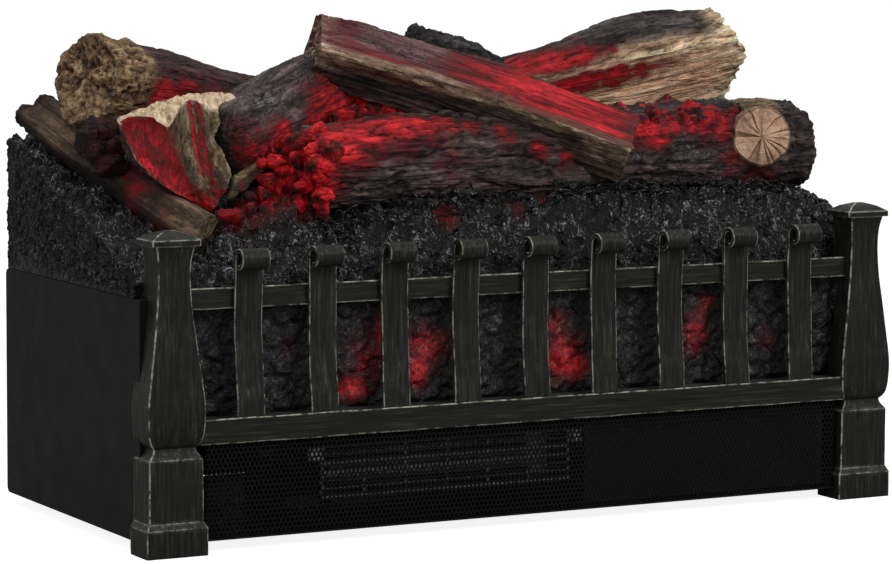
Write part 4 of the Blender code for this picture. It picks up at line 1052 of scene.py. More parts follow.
def slab(front, back, layers):
    """A closed block between two grids of points, and each point's shares: into it, up its rows, across."""
    depth = np.linspace(0, 1, layers)[:, None, None, None]
    solid = front[None] * (1 - depth) + back[None] * depth
    shape = solid.shape[:3]
    shell = np.ones(shape, bool)
    shell[1:-1, 1:-1, 1:-1] = False
    index = np.full(shape, -1)
    index[shell] = np.arange(shell.sum())
    shares = np.stack(np.meshgrid(*(np.linspace(0, 1, count) for count in shape), indexing="ij"), -1)[shell]
    faces = []
    for sheet, turned in ((index[0], False), (index[-1], True), (index[:, 0], True), (index[:, -1], False),
                          (index[:, :, 0], False), (index[:, :, -1], True)):
        corners = [sheet[:-1, :-1], sheet[:-1, 1:], sheet[1:, 1:], sheet[1:, :-1]]
        faces += quads(corners[::-1] if turned else corners)
    return solid[shell], faces, shares


def add_log_top():
    flats = ((54, 0.40), (-30, 0.70), (180, 0.80), (-90, 0.85), (97, 0.69))
    log = Log("top_log_split", ((0.314, 0.502, 0.890), (0.674, 0.202, 0.490)), 0.0300, flats,
              (1.0, 0.97, 1.0, 0.95), 0.13, (0.1, -0.2), 1)
    upper = (log.side == 1) * 1.0
    lower = (log.side == 2) * 1.0
    rim = ease((0.34 - log.to_corner - 3 * (0.03 * log.noise(0.012, 60, 2, 2))) / 0.14)
    rim *= np.maximum(0.75 * upper, lower)
    rim *= np.abs(log.degrees - 10) < 45
    rest = 1 - np.maximum(upper, lower)
    log.push(log.split(1.0, 1.2) * (upper + lower) + (log.bark(1.0) + log.plates(0.0050, 5)) * rest)
    log.push(rim * (0.0010 + 0.0013 * log.noise(0.0030, 61, 3, 1.8)))
    crumble = ease(1 - log.from_start / 0.020)
    broken = 0.0011 * log.noise(0.0046, 62, 3) - 0.0022 * unit(log.ridges(0.0030, 59) - 0.5) - 0.0014
    log.push(crumble * broken)
    layers = lower * np.clip(log.noise(0.0032, 64, 3, 12), -1, 1)
    log.push(0.0009 * layers)
    log.face = np.maximum(upper, 0.55 * crumble)
    rubbed = ease(log.noise(0.0045, 58, 3, 3) * 2 + 0.4)
    right = ease((log.t - 0.80) / 0.12)
    log.pale = rim * (0.80 + 0.5 * log.noise(0.006, 65, 2, 3)) + lower * right * 0.30
    log.pale += 0.55 * crumble * rubbed
    # Painted shade: the lower split face is painted darker towards its underside
    bottom = ease((-log.degrees - 26) / 12) * lower
    below = 0.65 * bottom * (0.6 + 0.8 * log.noise(0.012, 66, 2, 4))
    log.dark = np.clip(below + 0.45 * unit(-layers) * lower, 0, 0.85)
    patch = ease((log.noise(0.018, 69, 2, 2.5) - 0.02) * 2) * ease((0.66 - log.t) * 4)
    log.ash = upper * patch * 0.55 + rim * 0.15
    streak = 0.5 + 0.5 * log.noise(0.0042, 68, 3, 12)
    heat = upper * (0.34 + 0.50 * ease((log.t - 0.34) / 0.30)) * (1 - 0.8 * rim) * (1.15 - 0.6 * streak)
    heat -= 0.22 * patch * upper
    heat *= 1 - 0.45 * ease((log.t - 0.93) / 0.06)
    heat = np.maximum(heat, lower * 0.24 * unit(0.3 + log.noise(0.006, 70, 2, 9)) * (1 - bottom))
    log.glow = unit(heat) * (1 - log.on_cap) * ease(log.from_start / 0.018)
    log.finish("log_top", "top_log_wood", "brown", "red", "rim")


# Where the logs glow: x, y, z and reach in millimetres, and strength
FRONT_GLOWS = (
    (150, 48, 236, 17, 1.1), (166, 55, 242, 19, 1.1), (188, 54, 243, 18, 0.95), (206, 53, 242, 15, 0.85),
    (222, 56, 243, 12, 0.8), (240, 54, 242, 10, 0.75), (262, 50, 236, 9, 0.75), (285, 46, 228, 8, 0.75),
    (304, 45, 222, 8, 0.7), (131, 80, 212, 14, 0.95), (133, 66, 226, 13, 0.95), (137, 90, 226, 14, 0.9),
    (135, 46, 214, 15, 0.85), (361, 55, 238, 13, 0.95), (374, 53, 236, 11, 1), (388, 56, 240, 10, 0.6),
    (408, 57, 243, 14, 0.95), (424, 56, 238, 14, 0.75), (430, 50, 218, 15, 0.5), (452, 60, 210, 15, 0.48),
    (300, 110, 236, 30, 0.7), (400, 110, 236, 30, 0.65), (146, 43, 213, 10, 0.42), (220, 42, 222, 16, 0.3),
)
BACK_GLOWS = (
    (353, 139, 268, 20, 0.95), (372, 136, 272, 17, 0.9), (392, 134, 272, 15, 0.8), (410, 132, 274, 12, 0.7),
    (428, 131, 278, 10, 0.5), (330, 150, 262, 24, 0.8), (440, 132, 282, 7, 0.4), (380, 200, 270, 20, 0.45),
)
LEFT_GLOWS = (
    (72, 134, 256, 18, 0.72), (56, 138, 248, 18, 0.75), (90, 138, 256, 18, 0.5), (105, 142, 256, 16, 0.42),
    (40, 134, 262, 10, 0.4), (100, 170, 238, 30, 0.5),
)
CENTRE_GLOWS = (
    (105, 82, 232, 16, 0.62), (118, 80, 226, 16, 0.72), (126, 84, 236, 13, 0.85), (137, 92, 222, 16, 0.85),
    (100, 84, 242, 11, 0.45), (165, 96, 258, 18, 0.85), (178, 100, 254, 18, 0.9), (190, 110, 262, 20, 0.85),
    (150, 92, 244, 14, 0.62),
)
BRANCH_GLOWS = (
    (40, 104, 203, 12, 0.5), (50, 76, 188, 10, 0.5), (36, 105, 212, 16, 0.3),
)


def add_log_front():
    log = Log("front_log_charred", ((0.259, 0.289, 0.431), (0.948, 0.377, 0.456)), 0.0295,
              (), (0.86, 1.0, 1.02, 1.0, 1.04, 1.0), 0.0, (0.15, 0.1), 2, domes=(0.14, 0.22))
    right = ease((log.t - 0.80) / 0.08)
    char = ease((log.t - 0.46 + 0.05 * log.noise(0.02, 70)) / 0.12)
    flakes = log.plates(0.0074, 6.5, 0.0012, 0.0018, 0.2)
    log.push(log.bark(1.1, 1.0, 8.0) * (1 - 0.5 * right) + flakes * (1 - char))
    log.push(char * (0.0013 * log.noise(0.0050, 71, 3, 1.6) + 0.0007 * log.noise(0.0022, 72)))
    log.push(right * 0.0012 * log.noise(0.0060, 77, 3))
    ends = np.maximum(log.on_cap, ease(1 - np.minimum(log.from_start, log.from_end) / 0.010))
    log.push(ends * 0.0013 * log.noise(0.0042, 73, 3))
    patch = ease((log.noise(0.030, 74, 2, 1.6) + 0.10) * 2)
    ashen = unit(0.25 * patch + 0.90 * char * (0.35 + 0.65 * patch))
    log.ash = ashen * (1 - 0.6 * log.cracks) * (1 - 0.4 * right)
    # Painted shade: the log is painted darker on its underside
    low = ease((-np.sin(log.angle) - 0.2) / 0.5)
    log.dark = np.clip(0.90 * log.cracks + 0.20 * right + 0.18 * char * (1 - patch) + 0.10 * low
                       + 0.35 * ease((log.noise(0.020, 75, 2, 2.4) - 0.1) * 2.2), 0, 0.95)
    log.glow = glow_at(log.world(), FRONT_GLOWS, 76) * (1 - 0.5 * log.cracks)
    log.finish("log_front", "front_log_wood", "ashen", "brown", "olive")
    add_stub()
    add_sleeve()


def add_stub():
    """The sawn branch stub: a pale end with deep checks that run out from its pith."""
    start = pile_point((0.887, 0.368, 0.490))
    end = pile_point((0.862, 0.202, 0.512))
    matrix = own_frame(start, end)[1]
    length = np.linalg.norm(end - start)
    radius = 0.0193
    columns = 240
    angle = np.linspace(0, 2 * math.pi, columns, endpoint=False)
    circle = np.column_stack([np.cos(angle), np.sin(angle), angle * 0])
    rim = radius * (1 + 0.040 * noise(circle, 0.30, 82, 3))
    loops = []
    pale = []
    dark = []

    def ring(x, reach, paleness, darkness):
        loops.append(np.column_stack([x + np.zeros(columns), -reach * np.cos(angle), reach * np.sin(angle)]))
        pale.append(np.full(columns, paleness))
        dark.append(np.full(columns, darkness))

    for s in (0.10, 0.35, 0.6, 0.75, 0.88, 0.96):
        flake = 1 + 0.03 * noise(circle + s * 0.2, 0.12, 83, 2)
        ring(length * s, rim * flake, 0.55 * ease((s - 0.5) * 3), 0.75 * (1 - s))
    for r in np.concatenate([[0.99], np.linspace(0.96, 0.05, 40)]):
        wander = angle + 0.10 * noise(circle * 0.6 + np.array([0, 0, r * 1.1]), 0.5, 80, 2)
        ray = np.column_stack([np.cos(wander) * 2.0, np.sin(wander) * 2.0, wander * 0])
        broad = unit((ridges(ray, 0.62, 81, 1) - 0.72) * 3.6)
        fine = unit((ridges(ray, 0.17, 86, 1) - 0.80) * 5) * ease((r - 0.25) * 3)
        depth = 0.0016 * broad * ease((1.02 - r) * 5) * ease(r * 6) + 0.0004 * fine
        dome = 0.0014 * (1 - r * r) + 0.00012 * math.sin(r * 70) - (0.0010 if r >= 0.98 else 0.0)
        edge = r > 0.93
        ring(length + dome - depth, rim * (r if r < 0.98 else 1), 0.45 if edge else 1.0,
             unit(np.maximum(broad, 0.6 * fine) * 0.66 * ease(r * 5) + 0.45 * (r < 0.07) + 0.25 * edge))
    points, faces = tube_of_loops(loops)
    m = material_nodes("stub_wood", specular=0.12)
    grain = m.grain(330.0, (1, 1, 1), 5.0, 0.68)
    blotch = m.grain(75.0, (1, 1, 1), 3.0, 0.5)
    base = m.ramp(m.mix(0.5, grain, blotch), (0.36, (112, 88, 70)),
                  (0.50, (160, 128, 106)), (0.64, (192, 158, 130)))
    base = m.mix(m.mask("pale"), (46, 34, 28), base)
    material = m.surface(m.mix(m.mask("dark"), base, (52, 34, 27)), 0.75, grain, 0.0006, 0.8)
    masks = {"pale": np.concatenate(pale), "dark": np.concatenate(dark)}
    make_piece("sawn_stub", points, faces, material, masks, None, 70, matrix)


def add_sleeve():
    """A torn olive splinter of wood that lies over the front log beside the stub."""
    rows, columns = 34, 60
    v, u = (share.reshape(rows, columns) for share in grid(rows, columns))
    x = 0.4440 + 0.0300 * u + 0.004 * (v - 0.5)
    y = 0.0560 + 0.0330 * v
    flat = np.stack([x, y, u * 0.05], -1).reshape(-1, 3)
    ragged = noise(flat, 0.005, 85, 3).reshape(rows, columns)
    z = 0.2530 - 13.0 * (y - 0.0760) ** 2 + 0.0016 * np.sin(math.pi * u) + 0.0007 * ragged
    x = x + 0.0016 * ragged * np.abs(2 * u - 1)
    top = np.stack([x, y, z], -1)
    points, faces, shares = slab(top, top - np.array([0, 0, 0.0030]), 4)
    edge = np.maximum(np.abs(2 * shares[:, 1] - 1), np.abs(2 * shares[:, 2] - 1)) > 0.93
    masks = {"face": 1, "pale": 0.35 + 0.4 * edge, "ash": 0, "dark": 0.15 * (shares[:, 2] < 0.2), "glow": 0}
    wood = wood_material("sleeve_wood", "grey", "olive", "olive")
    make_piece("torn_splinter", points, faces, wood, masks, sharp=50)


def add_log_back_right():
    log = Log("back_right_log_split", ((0.553, 0.746, 0.568), (0.925, 0.667, 0.821)), 0.0305,
              ((-35, 0.62),), (0.78, 0.90, 1.12, 1.0), 0.15, (0, -0.1), 3)
    flat = (log.side == 1) * 1.0
    p = log.smooth
    band = hill(log.degrees - 20, 11)
    flakes = log.bark(0.9, 0.9, 8.0) + log.plates(0.0052, 7, 0.0005, 0.0010)
    log.push(log.split() * flat + flakes * (1 - flat))
    log.push(band * 0.0013 * log.noise(0.0026, 85, 2, 10))
    torn = ease(1 - log.from_end / 0.018)
    log.push(torn * (0.0020 * log.noise(0.0065, 86, 3) + 0.0009 * log.noise(0.0025, 87)))
    fibres = noise(p * np.array([0, 1, 1]), 0.0026, 84, 2)
    middle = hill(p[:, 2] + 0.004, 0.016)
    log.points[:, 0] += np.where(log.t > 0.5, 1, 0) * torn * (0.0105 * middle + 0.0026 * fibres)
    log.face = np.maximum(flat, band)
    cream = band * (0.35 + 0.75 * log.t) * (0.8 + 0.5 * log.noise(0.004, 88, 2, 8))
    log.pale = np.maximum(cream, torn * 0.9)
    log.ash = 0.25 * (1 - flat) * (1 - band) * ease(0.5 + log.noise(0.02, 83))
    layer = unit(ridges(p * np.array([0.06, 1, 1]), 0.0016, 81, 2) - 0.62) * 2.2
    log.dark = np.clip(0.65 * log.cracks * (1 - flat) * (1 - torn) + 0.6 * torn * unit(-fibres)
                       + 0.7 * layer * np.maximum(band, torn), 0, 0.9)
    streak = hill(log.degrees - 3, 6) * ease((log.t - 0.15) / 0.2) * ease((0.90 - log.t) / 0.15)
    streak *= unit(0.62 + 0.5 * log.noise(0.005, 82, 2, 5))
    log.glow = np.maximum(glow_at(log.world(), BACK_GLOWS, 89) * (1 - 0.75 * band), 0.62 * streak)
    log.finish("log_back_right", "back_right_wood", "grey", "tan", "fresh", fissure=0.6)


def add_log_back_left():
    log = Log("back_left_log_burl", ((0.050, 0.667, 0.765), (0.365, 0.789, 0.552)), 0.0260,
              (), (1.04, 0.98, 0.90, 0.85), 0.0, (0.2, 0), 4, 0.00095)
    burl = ease((0.032 - log.from_start) / 0.007)
    log.push((log.bark(0.8, 0.7, 6.0) + log.plates(0.0055, 5, 0.0004, 0.0008)) * (1 - burl))
    away, number, border = cells(log.smooth + 0.0012 * log.noise(0.004, 91)[:, None], 0.0034, 92)
    hollow = unit(1 - np.linalg.norm(away, axis=1) / 0.0021) ** 0.6
    hollow *= lattice(number, number * 0, number * 0 + 1, 92) > -0.5
    squarer = 0.07 * (np.abs(np.cos(2 * log.angle)) - 0.5) * 0.026
    lip = ease((-np.sin(log.angle) - 0.35) / 0.3)
    log.push(burl * (0.0030 * log.noise(0.011, 93) + 0.0009 * log.noise(0.0030, 94) + squarer
                     - 0.0026 * hollow * (1 - 0.7 * lip)))
    collar = hill(log.from_start - 0.031, 0.003)
    log.push(0.0014 * collar * (0.6 + log.noise(0.006, 90)))
    log.face = burl
    log.pale = burl * (0.10 + 0.35 * lip) * (1 - 0.8 * hollow) + 0.3 * collar
    spots = hollow * 1.3 - 0.1 + 0.25 * ease(log.noise(0.0045, 99) * 2)
    log.dark = np.clip(burl * spots * (1 - 0.6 * lip) + 0.6 * log.cracks * (1 - burl), 0, 0.95)
    log.ash = 0.12 * (1 - burl)
    log.glow = glow_at(log.world(), LEFT_GLOWS, 95) * (1 - 0.75 * burl)
    log.finish("log_back_left", "back_left_wood", "maroon", "burl", "cream", fissure=0.5)


def add_log_centre():
    log = Log("centre_log_charred", ((0.187, 0.442, 0.532), (0.434, 0.654, 0.796)), 0.0275,
              (), (0.88, 1.0, 1.0, 0.9), 0.0, (0, 0), 5, domes=(0.35, 0))
    place = log.world()
    near, far = (np.exp(-((place - np.array(middle)) ** 2).sum(1) / 0.020 ** 2)
                 for middle in ((0.118, 0.090, 0.258), (0.150, 0.100, 0.268)))
    crackle = np.maximum(near, 0.7 * far)
    flakes = log.plates(0.0046, 1.6, 0.0006, 0.0012, 0.2)
    log.push(log.bark(0.8, 0.8, 4.0) * (1 - 0.5 * crackle) + flakes * crackle)
    lump = glow_at(place, CENTRE_GLOWS, 96)
    log.push(lump * (0.0020 * log.noise(0.0050, 97, 3) + 0.0004) + 0.0012 * log.noise(0.014, 98))
    log.ash = unit(crackle * 0.9) * (1 - 0.7 * log.cracks)
    log.dark = np.clip(0.75 * log.cracks, 0, 0.9)
    log.glow = lump * (1 - 0.5 * log.cracks)
    log.finish("log_centre", "centre_wood", "ashen", "olive", "olive")
    add_torn_rim()


# The edge of torn bark under the centre log: places along its top and along its foot, in millimetres
RIM_TOP = (
    (92.8, 78, 213.5), (100.6, 81, 216.7), (108, 82, 222.5), (118.4, 86, 227.4), (127.8, 87, 233.8),
    (139.2, 90, 238.2), (150.1, 92, 240.4), (164.4, 94, 241.6), (174.7, 95, 247.6), (183.7, 96, 254.2),
)
RIM_FOOT = (
    (83.5, 76, 198.1), (95.4, 78, 205), (109.3, 81, 213.4), (116, 83, 218), (123.8, 86, 222.7),
    (136.5, 90, 231.4), (150.1, 92, 236.1), (164.4, 94, 238.0), (174.7, 95, 243.5), (183.7, 96, 250.5),
)


def add_torn_rim():
    rows, columns = 16, 120
    u = np.linspace(0, 1, columns)
    top, foot = (along((line, 6), u) for line in (RIM_TOP, RIM_FOOT))
    v = np.linspace(0, 1, rows)[:, None, None]
    front = foot[None] * (1 - v) + top[None] * v
    ragged = noise(front.reshape(-1, 3), 0.0045, 106, 3, (2, 1, 1)).reshape(rows, columns)
    front[:, :, 1] += 0.0008 * ragged - 0.0016 * np.sin(math.pi * v[:, :, 0])
    front[:, :, 2] += 0.0012 * ragged * (2 * np.abs(v[:, :, 0] - 0.5)) ** 2
    points, faces, shares = slab(front, front + np.array([0.001, 0.0060, 0.0012]), 5)
    crest = ease((shares[:, 1] - 0.62) / 0.3)
    masks = {"face": 1, "pale": 0.75 * crest, "ash": 0, "dark": 0.65 * (1 - crest),
             "glow": 0.25 * (1 - crest) * (noise(points, 0.006, 107, 2) > 0.1)}
    wood = wood_material("rim_wood", "grey", "olive", "olive")
    make_piece("torn_rim", points, faces, wood, masks, sharp=50)


# The split fork, in millimetres: its left and right outline from its foot up, then its top's front and back
FORK_LEFT = (
    (73.4, 70.3, 196.1), (60.1, 72.7, 201.7), (45.8, 75.8, 209.1), (36.9, 79.1, 217), (30.5, 82.1, 224.1),
    (24.6, 87.8, 237.6), (21.5, 92.5, 248.8),
)
FORK_RIGHT = (
    (75.4, 70.3, 196.1), (79.3, 72.5, 201.1), (84.5, 74.9, 206.8), (89.4, 77.7, 213.7), (88.9, 81, 221.3),
    (85.5, 85.2, 231.4), (80.6, 89, 240.4), (77.8, 91.5, 246.3), (80.3, 93, 249.5),
)
FORK_EDGE = (
    (21.5, 92.5, 249), (30.9, 93.4, 250.9), (42.7, 93.5, 251.2), (48, 92.2, 248.2), (52.6, 91, 245.1),
    (57, 91.9, 247.4), (61.3, 94.3, 253.2), (67, 96.8, 258.9), (73.2, 97.2, 260), (79.3, 96.2, 257.5),
    (84.1, 95.1, 255.1), (96.5, 94.5, 253.6), (102.6, 97.2, 257.4),
)
FORK_BACK = (
    (24.7, 100, 249.8), (36.4, 100, 254), (46.2, 100, 257.4), (56, 100, 260.2), (64.5, 100, 262.4),
    (75.8, 100, 264), (89, 100, 264.2), (100.4, 100, 263), (103.9, 100, 260.2),
)
FORK_FACING = (0, -0.91, 0.415)


def add_log_fork():
    """A split fork that narrows to its foot, with a hollow glowing front and a pale sawn top."""
    rows, columns = 120, 130
    u = np.linspace(0, 1, columns)
    v = np.linspace(0, 1, rows)
    left = along((FORK_LEFT, 8), v)
    right = along((FORK_RIGHT, 8), v)
    left[:, 0] += 0.0011 * noise(left, 0.0045, 118, 3) * ease(v * 6)
    right[:, 0] += 0.0012 * noise(right, 0.0040, 119, 3)
    edge = along((FORK_EDGE, 6), u)
    rear = along((FORK_BACK, 6), u)
    edge[:, 2] += 0.0006 * noise(edge, 0.003, 120, 3)
    rear[:, 2] += 0.0009 * noise(rear, 0.0035, 117, 3)
    across = u[None, :, None]
    front = left[:, None] * (1 - across) + right[:, None] * across
    back = front + np.stack([0 * v, 0.008 + 0.006 * v, 0 * v], -1)[:, None]
    near_top = ease((v - 0.74) / 0.26)[:, None, None]
    front = front + near_top * (edge - front[-1])
    back = back + near_top * (rear - back[-1])
    x = front[:, :, 0] * 1000
    across = u[None, :] + 0 * x
    height = v[:, None] + 0 * x
    crest_x = 69.5 - 4.5 * ease(height * 1.4)
    from_left = x - left[:, None, 0] * 1000
    span = np.clip(from_left / np.maximum(2, crest_x - left[:, None, 0] * 1000), 0, 1.6)
    flat = front.reshape(-1, 3)
    lumps, grains, crumbs = (noise(flat, *settings).reshape(x.shape) for settings in (
        (0.009, 121, 2), (0.0030, 122, 3, (1, 1, 3)), (0.0024, 123, 3)))
    crest = hill(x - crest_x, 4.0) * ease(height * 3)
    basin = np.sin(math.pi * unit(span / 0.92))
    fissure = hill(x - crest_x - 5.0, 1.7) * ease((height - 0.30) * 4)
    groove = hill(x - crest_x - 10.5, 3.5)
    relief = 2.9 * crest - 3.8 * basin - 1.6 * fissure - 1.8 * groove + 1.1 * lumps + 0.6 * grains
    relief += crumbs * (0.25 + 1.1 * ease((0.45 - height) / 0.2) + 0.8 * ease((0.30 - span) / 0.2))
    hold = ease(across / 0.05) * ease((1 - across) / 0.05) * ease((1 - height) / 0.05)
    front = front + (relief * hold / 1000)[:, :, None] * np.array(FORK_FACING)
    points, faces, shares = slab(front, back, 10)
    top = shares[:, 1] > 0.999
    points[:, 2] += top * 0.0004 * noise(points, 0.004, 124, 3)
    facing = shares[:, 0] < 0.001
    row = np.round(shares[:, 1] * (rows - 1)).astype(int)
    column = np.round(shares[:, 2] * (columns - 1)).astype(int)

    def spread(values):
        return values[row, column] * facing * ~top

    lower_edge = hill(span - 0.17, 0.14) * ease((0.86 - height) / 0.25)
    shade = ease((height - 0.45) / 0.4) * (0.04 + 0.20 * ease((span - 0.45) / 0.4))
    warm = (0.62 - shade) * ease(span / 0.08) * ease((1.0 - span) / 0.30) + 0.34 * lower_edge
    for hot in (0.95 * fissure * (x > crest_x), 0.56 * groove * (x > crest_x),
                0.72 * ease((0.36 - height) / 0.16) * (0.7 + 0.5 * crumbs)):
        warm = np.maximum(warm, hot)
    warm = warm - 0.14 * (0.5 + 0.5 * grains) - 0.20 * ease(lumps) - 0.12 * ease(crumbs)
    olive = np.maximum(0.16 * crest, 0.20 * ease((across - 0.92) / 0.06))
    fresh = spread(ease((height - 0.955) / 0.03)) * 0.7
    masks = {
        "face": facing | top,
        "pale": np.maximum(top * 1.0, np.maximum(spread(olive), fresh)),
        "ash": 0,
        "dark": spread(unit(0.35 * (crest_x - x > 2) * ease((span - 0.80) / 0.12) + 0.25 * (crumbs < -0.3))),
        "glow": spread(unit(warm)),
    }
    # The fork's own frame has its X axis upwards, so that the grain runs up it
    upright = Matrix([[0, 1, 0, CORNER[0]], [0, 0, 1, CORNER[1]], [1, 0, 0, CORNER[2]], [0, 0, 0, 1]])
    wood = wood_material("fork_wood", "maroon", "olive", "bright", scale=210.0, fissure=0.5)
    make_piece("fork_log_cut", points[:, (2, 0, 1)], faces, wood, masks, "log_fork", 50, upright)


def add_log_branch():
    log = Log("branch_log_weathered", ((0.030, 0.925, 0.624), (0.115, 0.228, 0.193)), 0.0145,
              ((200, 0.55), (35, 0.80)), (0.95, 0.95, 0.80, 0.80, 1.0), -0.15, (0, 0.4), 7, 0.0009)
    log.push(log.split(0.7, 0.8) + 0.0007 * log.noise(0.010, 101, 2, 3))
    tip = ease(1 - log.from_start / 0.012)
    log.push(tip * 0.0014 * log.noise(0.004, 102, 3))
    cut = ease((log.degrees - 20) / 25) * ease((150 - log.degrees) / 25)
    log.points[:, 0] += np.where(log.t < 0.5, 1, 0) * tip * 0.007 * cut
    # Painted shade: the underside is painted nearly black
    under = ease(-np.sin(log.angle) * 1.8 - 0.05)
    middle = hill(log.t - 0.52, 0.16)
    # Painted highlights: paler bands a quarter of the way along and on the far end's upper side, where light
    # falls
    light = hill(log.t - 0.22, 0.10) + 0.75 * ease((log.t - 0.74) / 0.12) * (log.degrees > 8)
    log.pale = 0.55 * light * (1 - under) + 0.30 * (log.t > 0.5) * log.on_cap
    patches = ease(0.5 + log.noise(0.016, 103, 2, 4))
    log.dark = np.clip(under * 0.92 + 0.30 * middle * patches + 0.40, 0, 0.95)
    log.dark *= 1 - 0.85 * unit(light) * (1 - under)
    log.face = 0.75
    warm = 0.30 * middle * (1 - under) * (log.degrees > 40)
    log.glow = np.maximum(glow_at(log.world(), BRANCH_GLOWS, 104), warm)
    log.finish("log_branch", "branch_wood", "brown", "brown", "olive", fissure=0.5)


def add_log_chip():
    log = Log("chip_log_rough", ((0.495, 0.728, 0.859), (0.614, 0.728, 0.746)), 0.0160,
              (), (0.90, 0.95, 0.8), 0.0, (0, 0), 8, 0.0009, (0.3, 0))
    crumbs = 0.0007 * log.noise(0.004, 105, 3)
    log.push(log.bark(1.1, 1.0, 3.0) + log.plates(0.0042, 1.6, 0.0007, 0.0010) + crumbs)
    log.pale = np.where(log.t > 0.5, log.on_cap, 0) * 0.9
    log.dark = unit(0.75 * log.cracks + 0.25) * (1 - log.pale)
    log.ash = 0.3
    log.finish("log_chip", "chip_wood", "black", "olive", "cream")


# Lumps between the logs: how hot, least and most radius, and their middles, in millimetres
COALS = {
    "coals_left": (0.95, 4.2, 6.4, (
        (117, 84, 229.4), (133.1, 82, 235.1), (137.2, 82, 228.9), (128.4, 82, 229.1), (110.6, 79, 220.8),
        (119.3, 79, 222.8), (124, 77, 217.4), (129.4, 75, 212.4), (114.6, 78, 210.4), (120.3, 74, 208.1),
        (130.4, 72, 205.4), (108.2, 74, 203), (125.7, 72, 198.4), (133.7, 70, 200.2), (131, 66, 234),
        (128, 70, 224), (133, 60, 240), (139, 62, 243), (134, 54, 232), (133, 50, 224), (134, 48, 214),
        (135, 46, 205), (131, 56, 216), (129, 60, 208), (139, 46, 222), (141, 44, 229), (137, 50, 198),
        (128, 66, 198),
    )),
    "coals_low": (0.55, 4.2, 7, (
        (97.4, 68, 195), (90.8, 68, 192.8), (105.4, 68, 192.1), (130.8, 62, 191.2), (80.9, 68, 192.4),
        (141.3, 58, 191.1), (116, 70, 194), (100, 76, 200), (122, 80, 205),
    )),
    "coals_back_left": (0.16, 6, 8.5, (
        (17.9, 118, 229), (27.7, 118, 231.7), (37.5, 118, 234.5), (24.4, 118, 222.8), (34.2, 118, 219.5),
        (44, 118, 213.1), (14.7, 122, 235.3), (52, 112, 222), (60, 112, 214), (46, 116, 228),
        (30, 122, 240), (38, 120, 242), (24, 124, 240), (46, 114, 240), (20, 126, 243), (34, 116, 233),
    )),
    "coals_middle": (0.8, 6, 9, (
        (172, 92, 246), (184, 94, 248), (196, 98, 252), (208, 100, 251), (220, 102, 250), (232, 104, 249),
        (184, 96, 246), (246, 106, 250), (260, 108, 250), (276, 110, 250),
    )),
    "coals_right": (0.95, 4.5, 7.5, (
        (350, 62, 239), (359, 64, 242), (368, 60, 241), (377, 64, 244), (386, 62, 243), (364, 82, 246),
        (356, 58, 236), (372, 57, 237), (380, 84, 247),
    )),
    "coals_far_right": (0.8, 5, 8, (
        (398, 64, 243), (408, 66, 246), (417, 62, 243), (426, 68, 246), (436, 66, 243), (402, 92, 248),
        (412, 60, 240), (424, 60, 239), (432, 60, 236), (420, 94, 248), (440, 92, 244), (452, 84, 240),
    )),
}


def add_coals():
    """Broken lumps that glow between the logs."""
    rng = np.random.default_rng(19)
    wood = wood_material("coal_wood", "black", "brown", "olive", scale=300.0, fissure=0.6)
    bm = bmesh.new()
    bmesh.ops.create_icosphere(bm, subdivisions=4, radius=1)
    sphere = np.array([v.co for v in bm.verts])
    triangles = np.array([[v.index for v in face.verts] for face in bm.faces])
    bm.free()
    for name, (hot, least, most, middles) in COALS.items():
        points = []
        for number, middle in enumerate(middles):
            size = rng.uniform(least, most) / 1000
            wander = rng.uniform(-1, 1, 3) * 0.0012
            shape = sphere + number * 3.7
            lumps = 1 + 0.20 * noise(shape, 0.8, 111, 3) + 0.11 * noise(shape, 0.22, 112, 2)
            planes = rng.normal(0, 1, (14, 3))
            planes /= np.linalg.norm(planes, axis=1)[:, None]
            flats = rng.uniform(0.66, 1.0, 14) / np.maximum(0.05, sphere @ planes.T)
            lumps *= np.minimum(1.15, flats.min(1))
            stretch = rng.uniform(0.70, 1.20, 3)
            points.append(np.array(middle) / 1000 + wander + sphere * lumps[:, None] * size * stretch)
        faces = np.concatenate([triangles + k * len(sphere) for k in range(len(middles))]).tolist()
        points = np.concatenate(points)
        heat = hot * np.clip(0.70 + 0.85 * noise(points, 0.0085, 113, 3), 0.06, 1)
        masks = {"face": 0, "pale": 0, "ash": 0.15, "dark": 0.9 - 1.3 * heat, "glow": heat}
        make_piece(name, points, faces, wood, masks)


# Materials of the carried-over pieces: colour and the other settings of plain, then the pieces
PAINTS = {
    "charcoal_powder": ((15, 15, 14), 0.62, 0.0, 900.0, 0.10, 0.00005, (1, 1, 1), 0.08, "panel base_pan"),
    "zinc_plate": ((58, 59, 61), 0.55, 0.4, 90.0, 0.16, 0.00004,
                   "light_deck fan_scroll fan_end motor_bracket"),
    "rolled_steel": ((150, 150, 152), 0.50, 0.3, 260.0, 0.2, 0.00004, (0.1, 1, 1),
                     "outlet_guard fan_shaft motor_stator motor_rotor"),
    "bright_steel": ((205, 205, 202), 0.28, 1.0, 400.0, 0.12, 0.00003, "screw"),
    "moulded_plastic": ((30, 30, 31), 0.44, 0.0, 700.0, 0.15, 0.00004, "thermal_cutout fan_wheel switch"),
    "box_plastic": ((46, 46, 51), 0.55, 0.0, 700.0, 0.15, 0.00004, "control_box"),
    "soft_rubber": ((24, 24, 24), 0.82, 0.0, 500.0, 0.2, 0.00006, "cord_gland rear_foot"),
    "green_board": ((30, 96, 58), 0.5, 0.0, 240.0, 0.3, 0.00006, "control_board led_board"),
    "sintered_bronze": ((176, 136, 84), 0.4, 1.0, 600.0, 0.2, 0.00004, "fan_bearing"),
    "element_wire": ((196, 192, 188), 0.5, 1.0, 300.0, 0.25, 0.00004, "heating_element"),
    "dark_zinc": ((40, 40, 42), 0.45, 1.0, 90.0, 0.2, 0.00004, "heater_duct"),
}


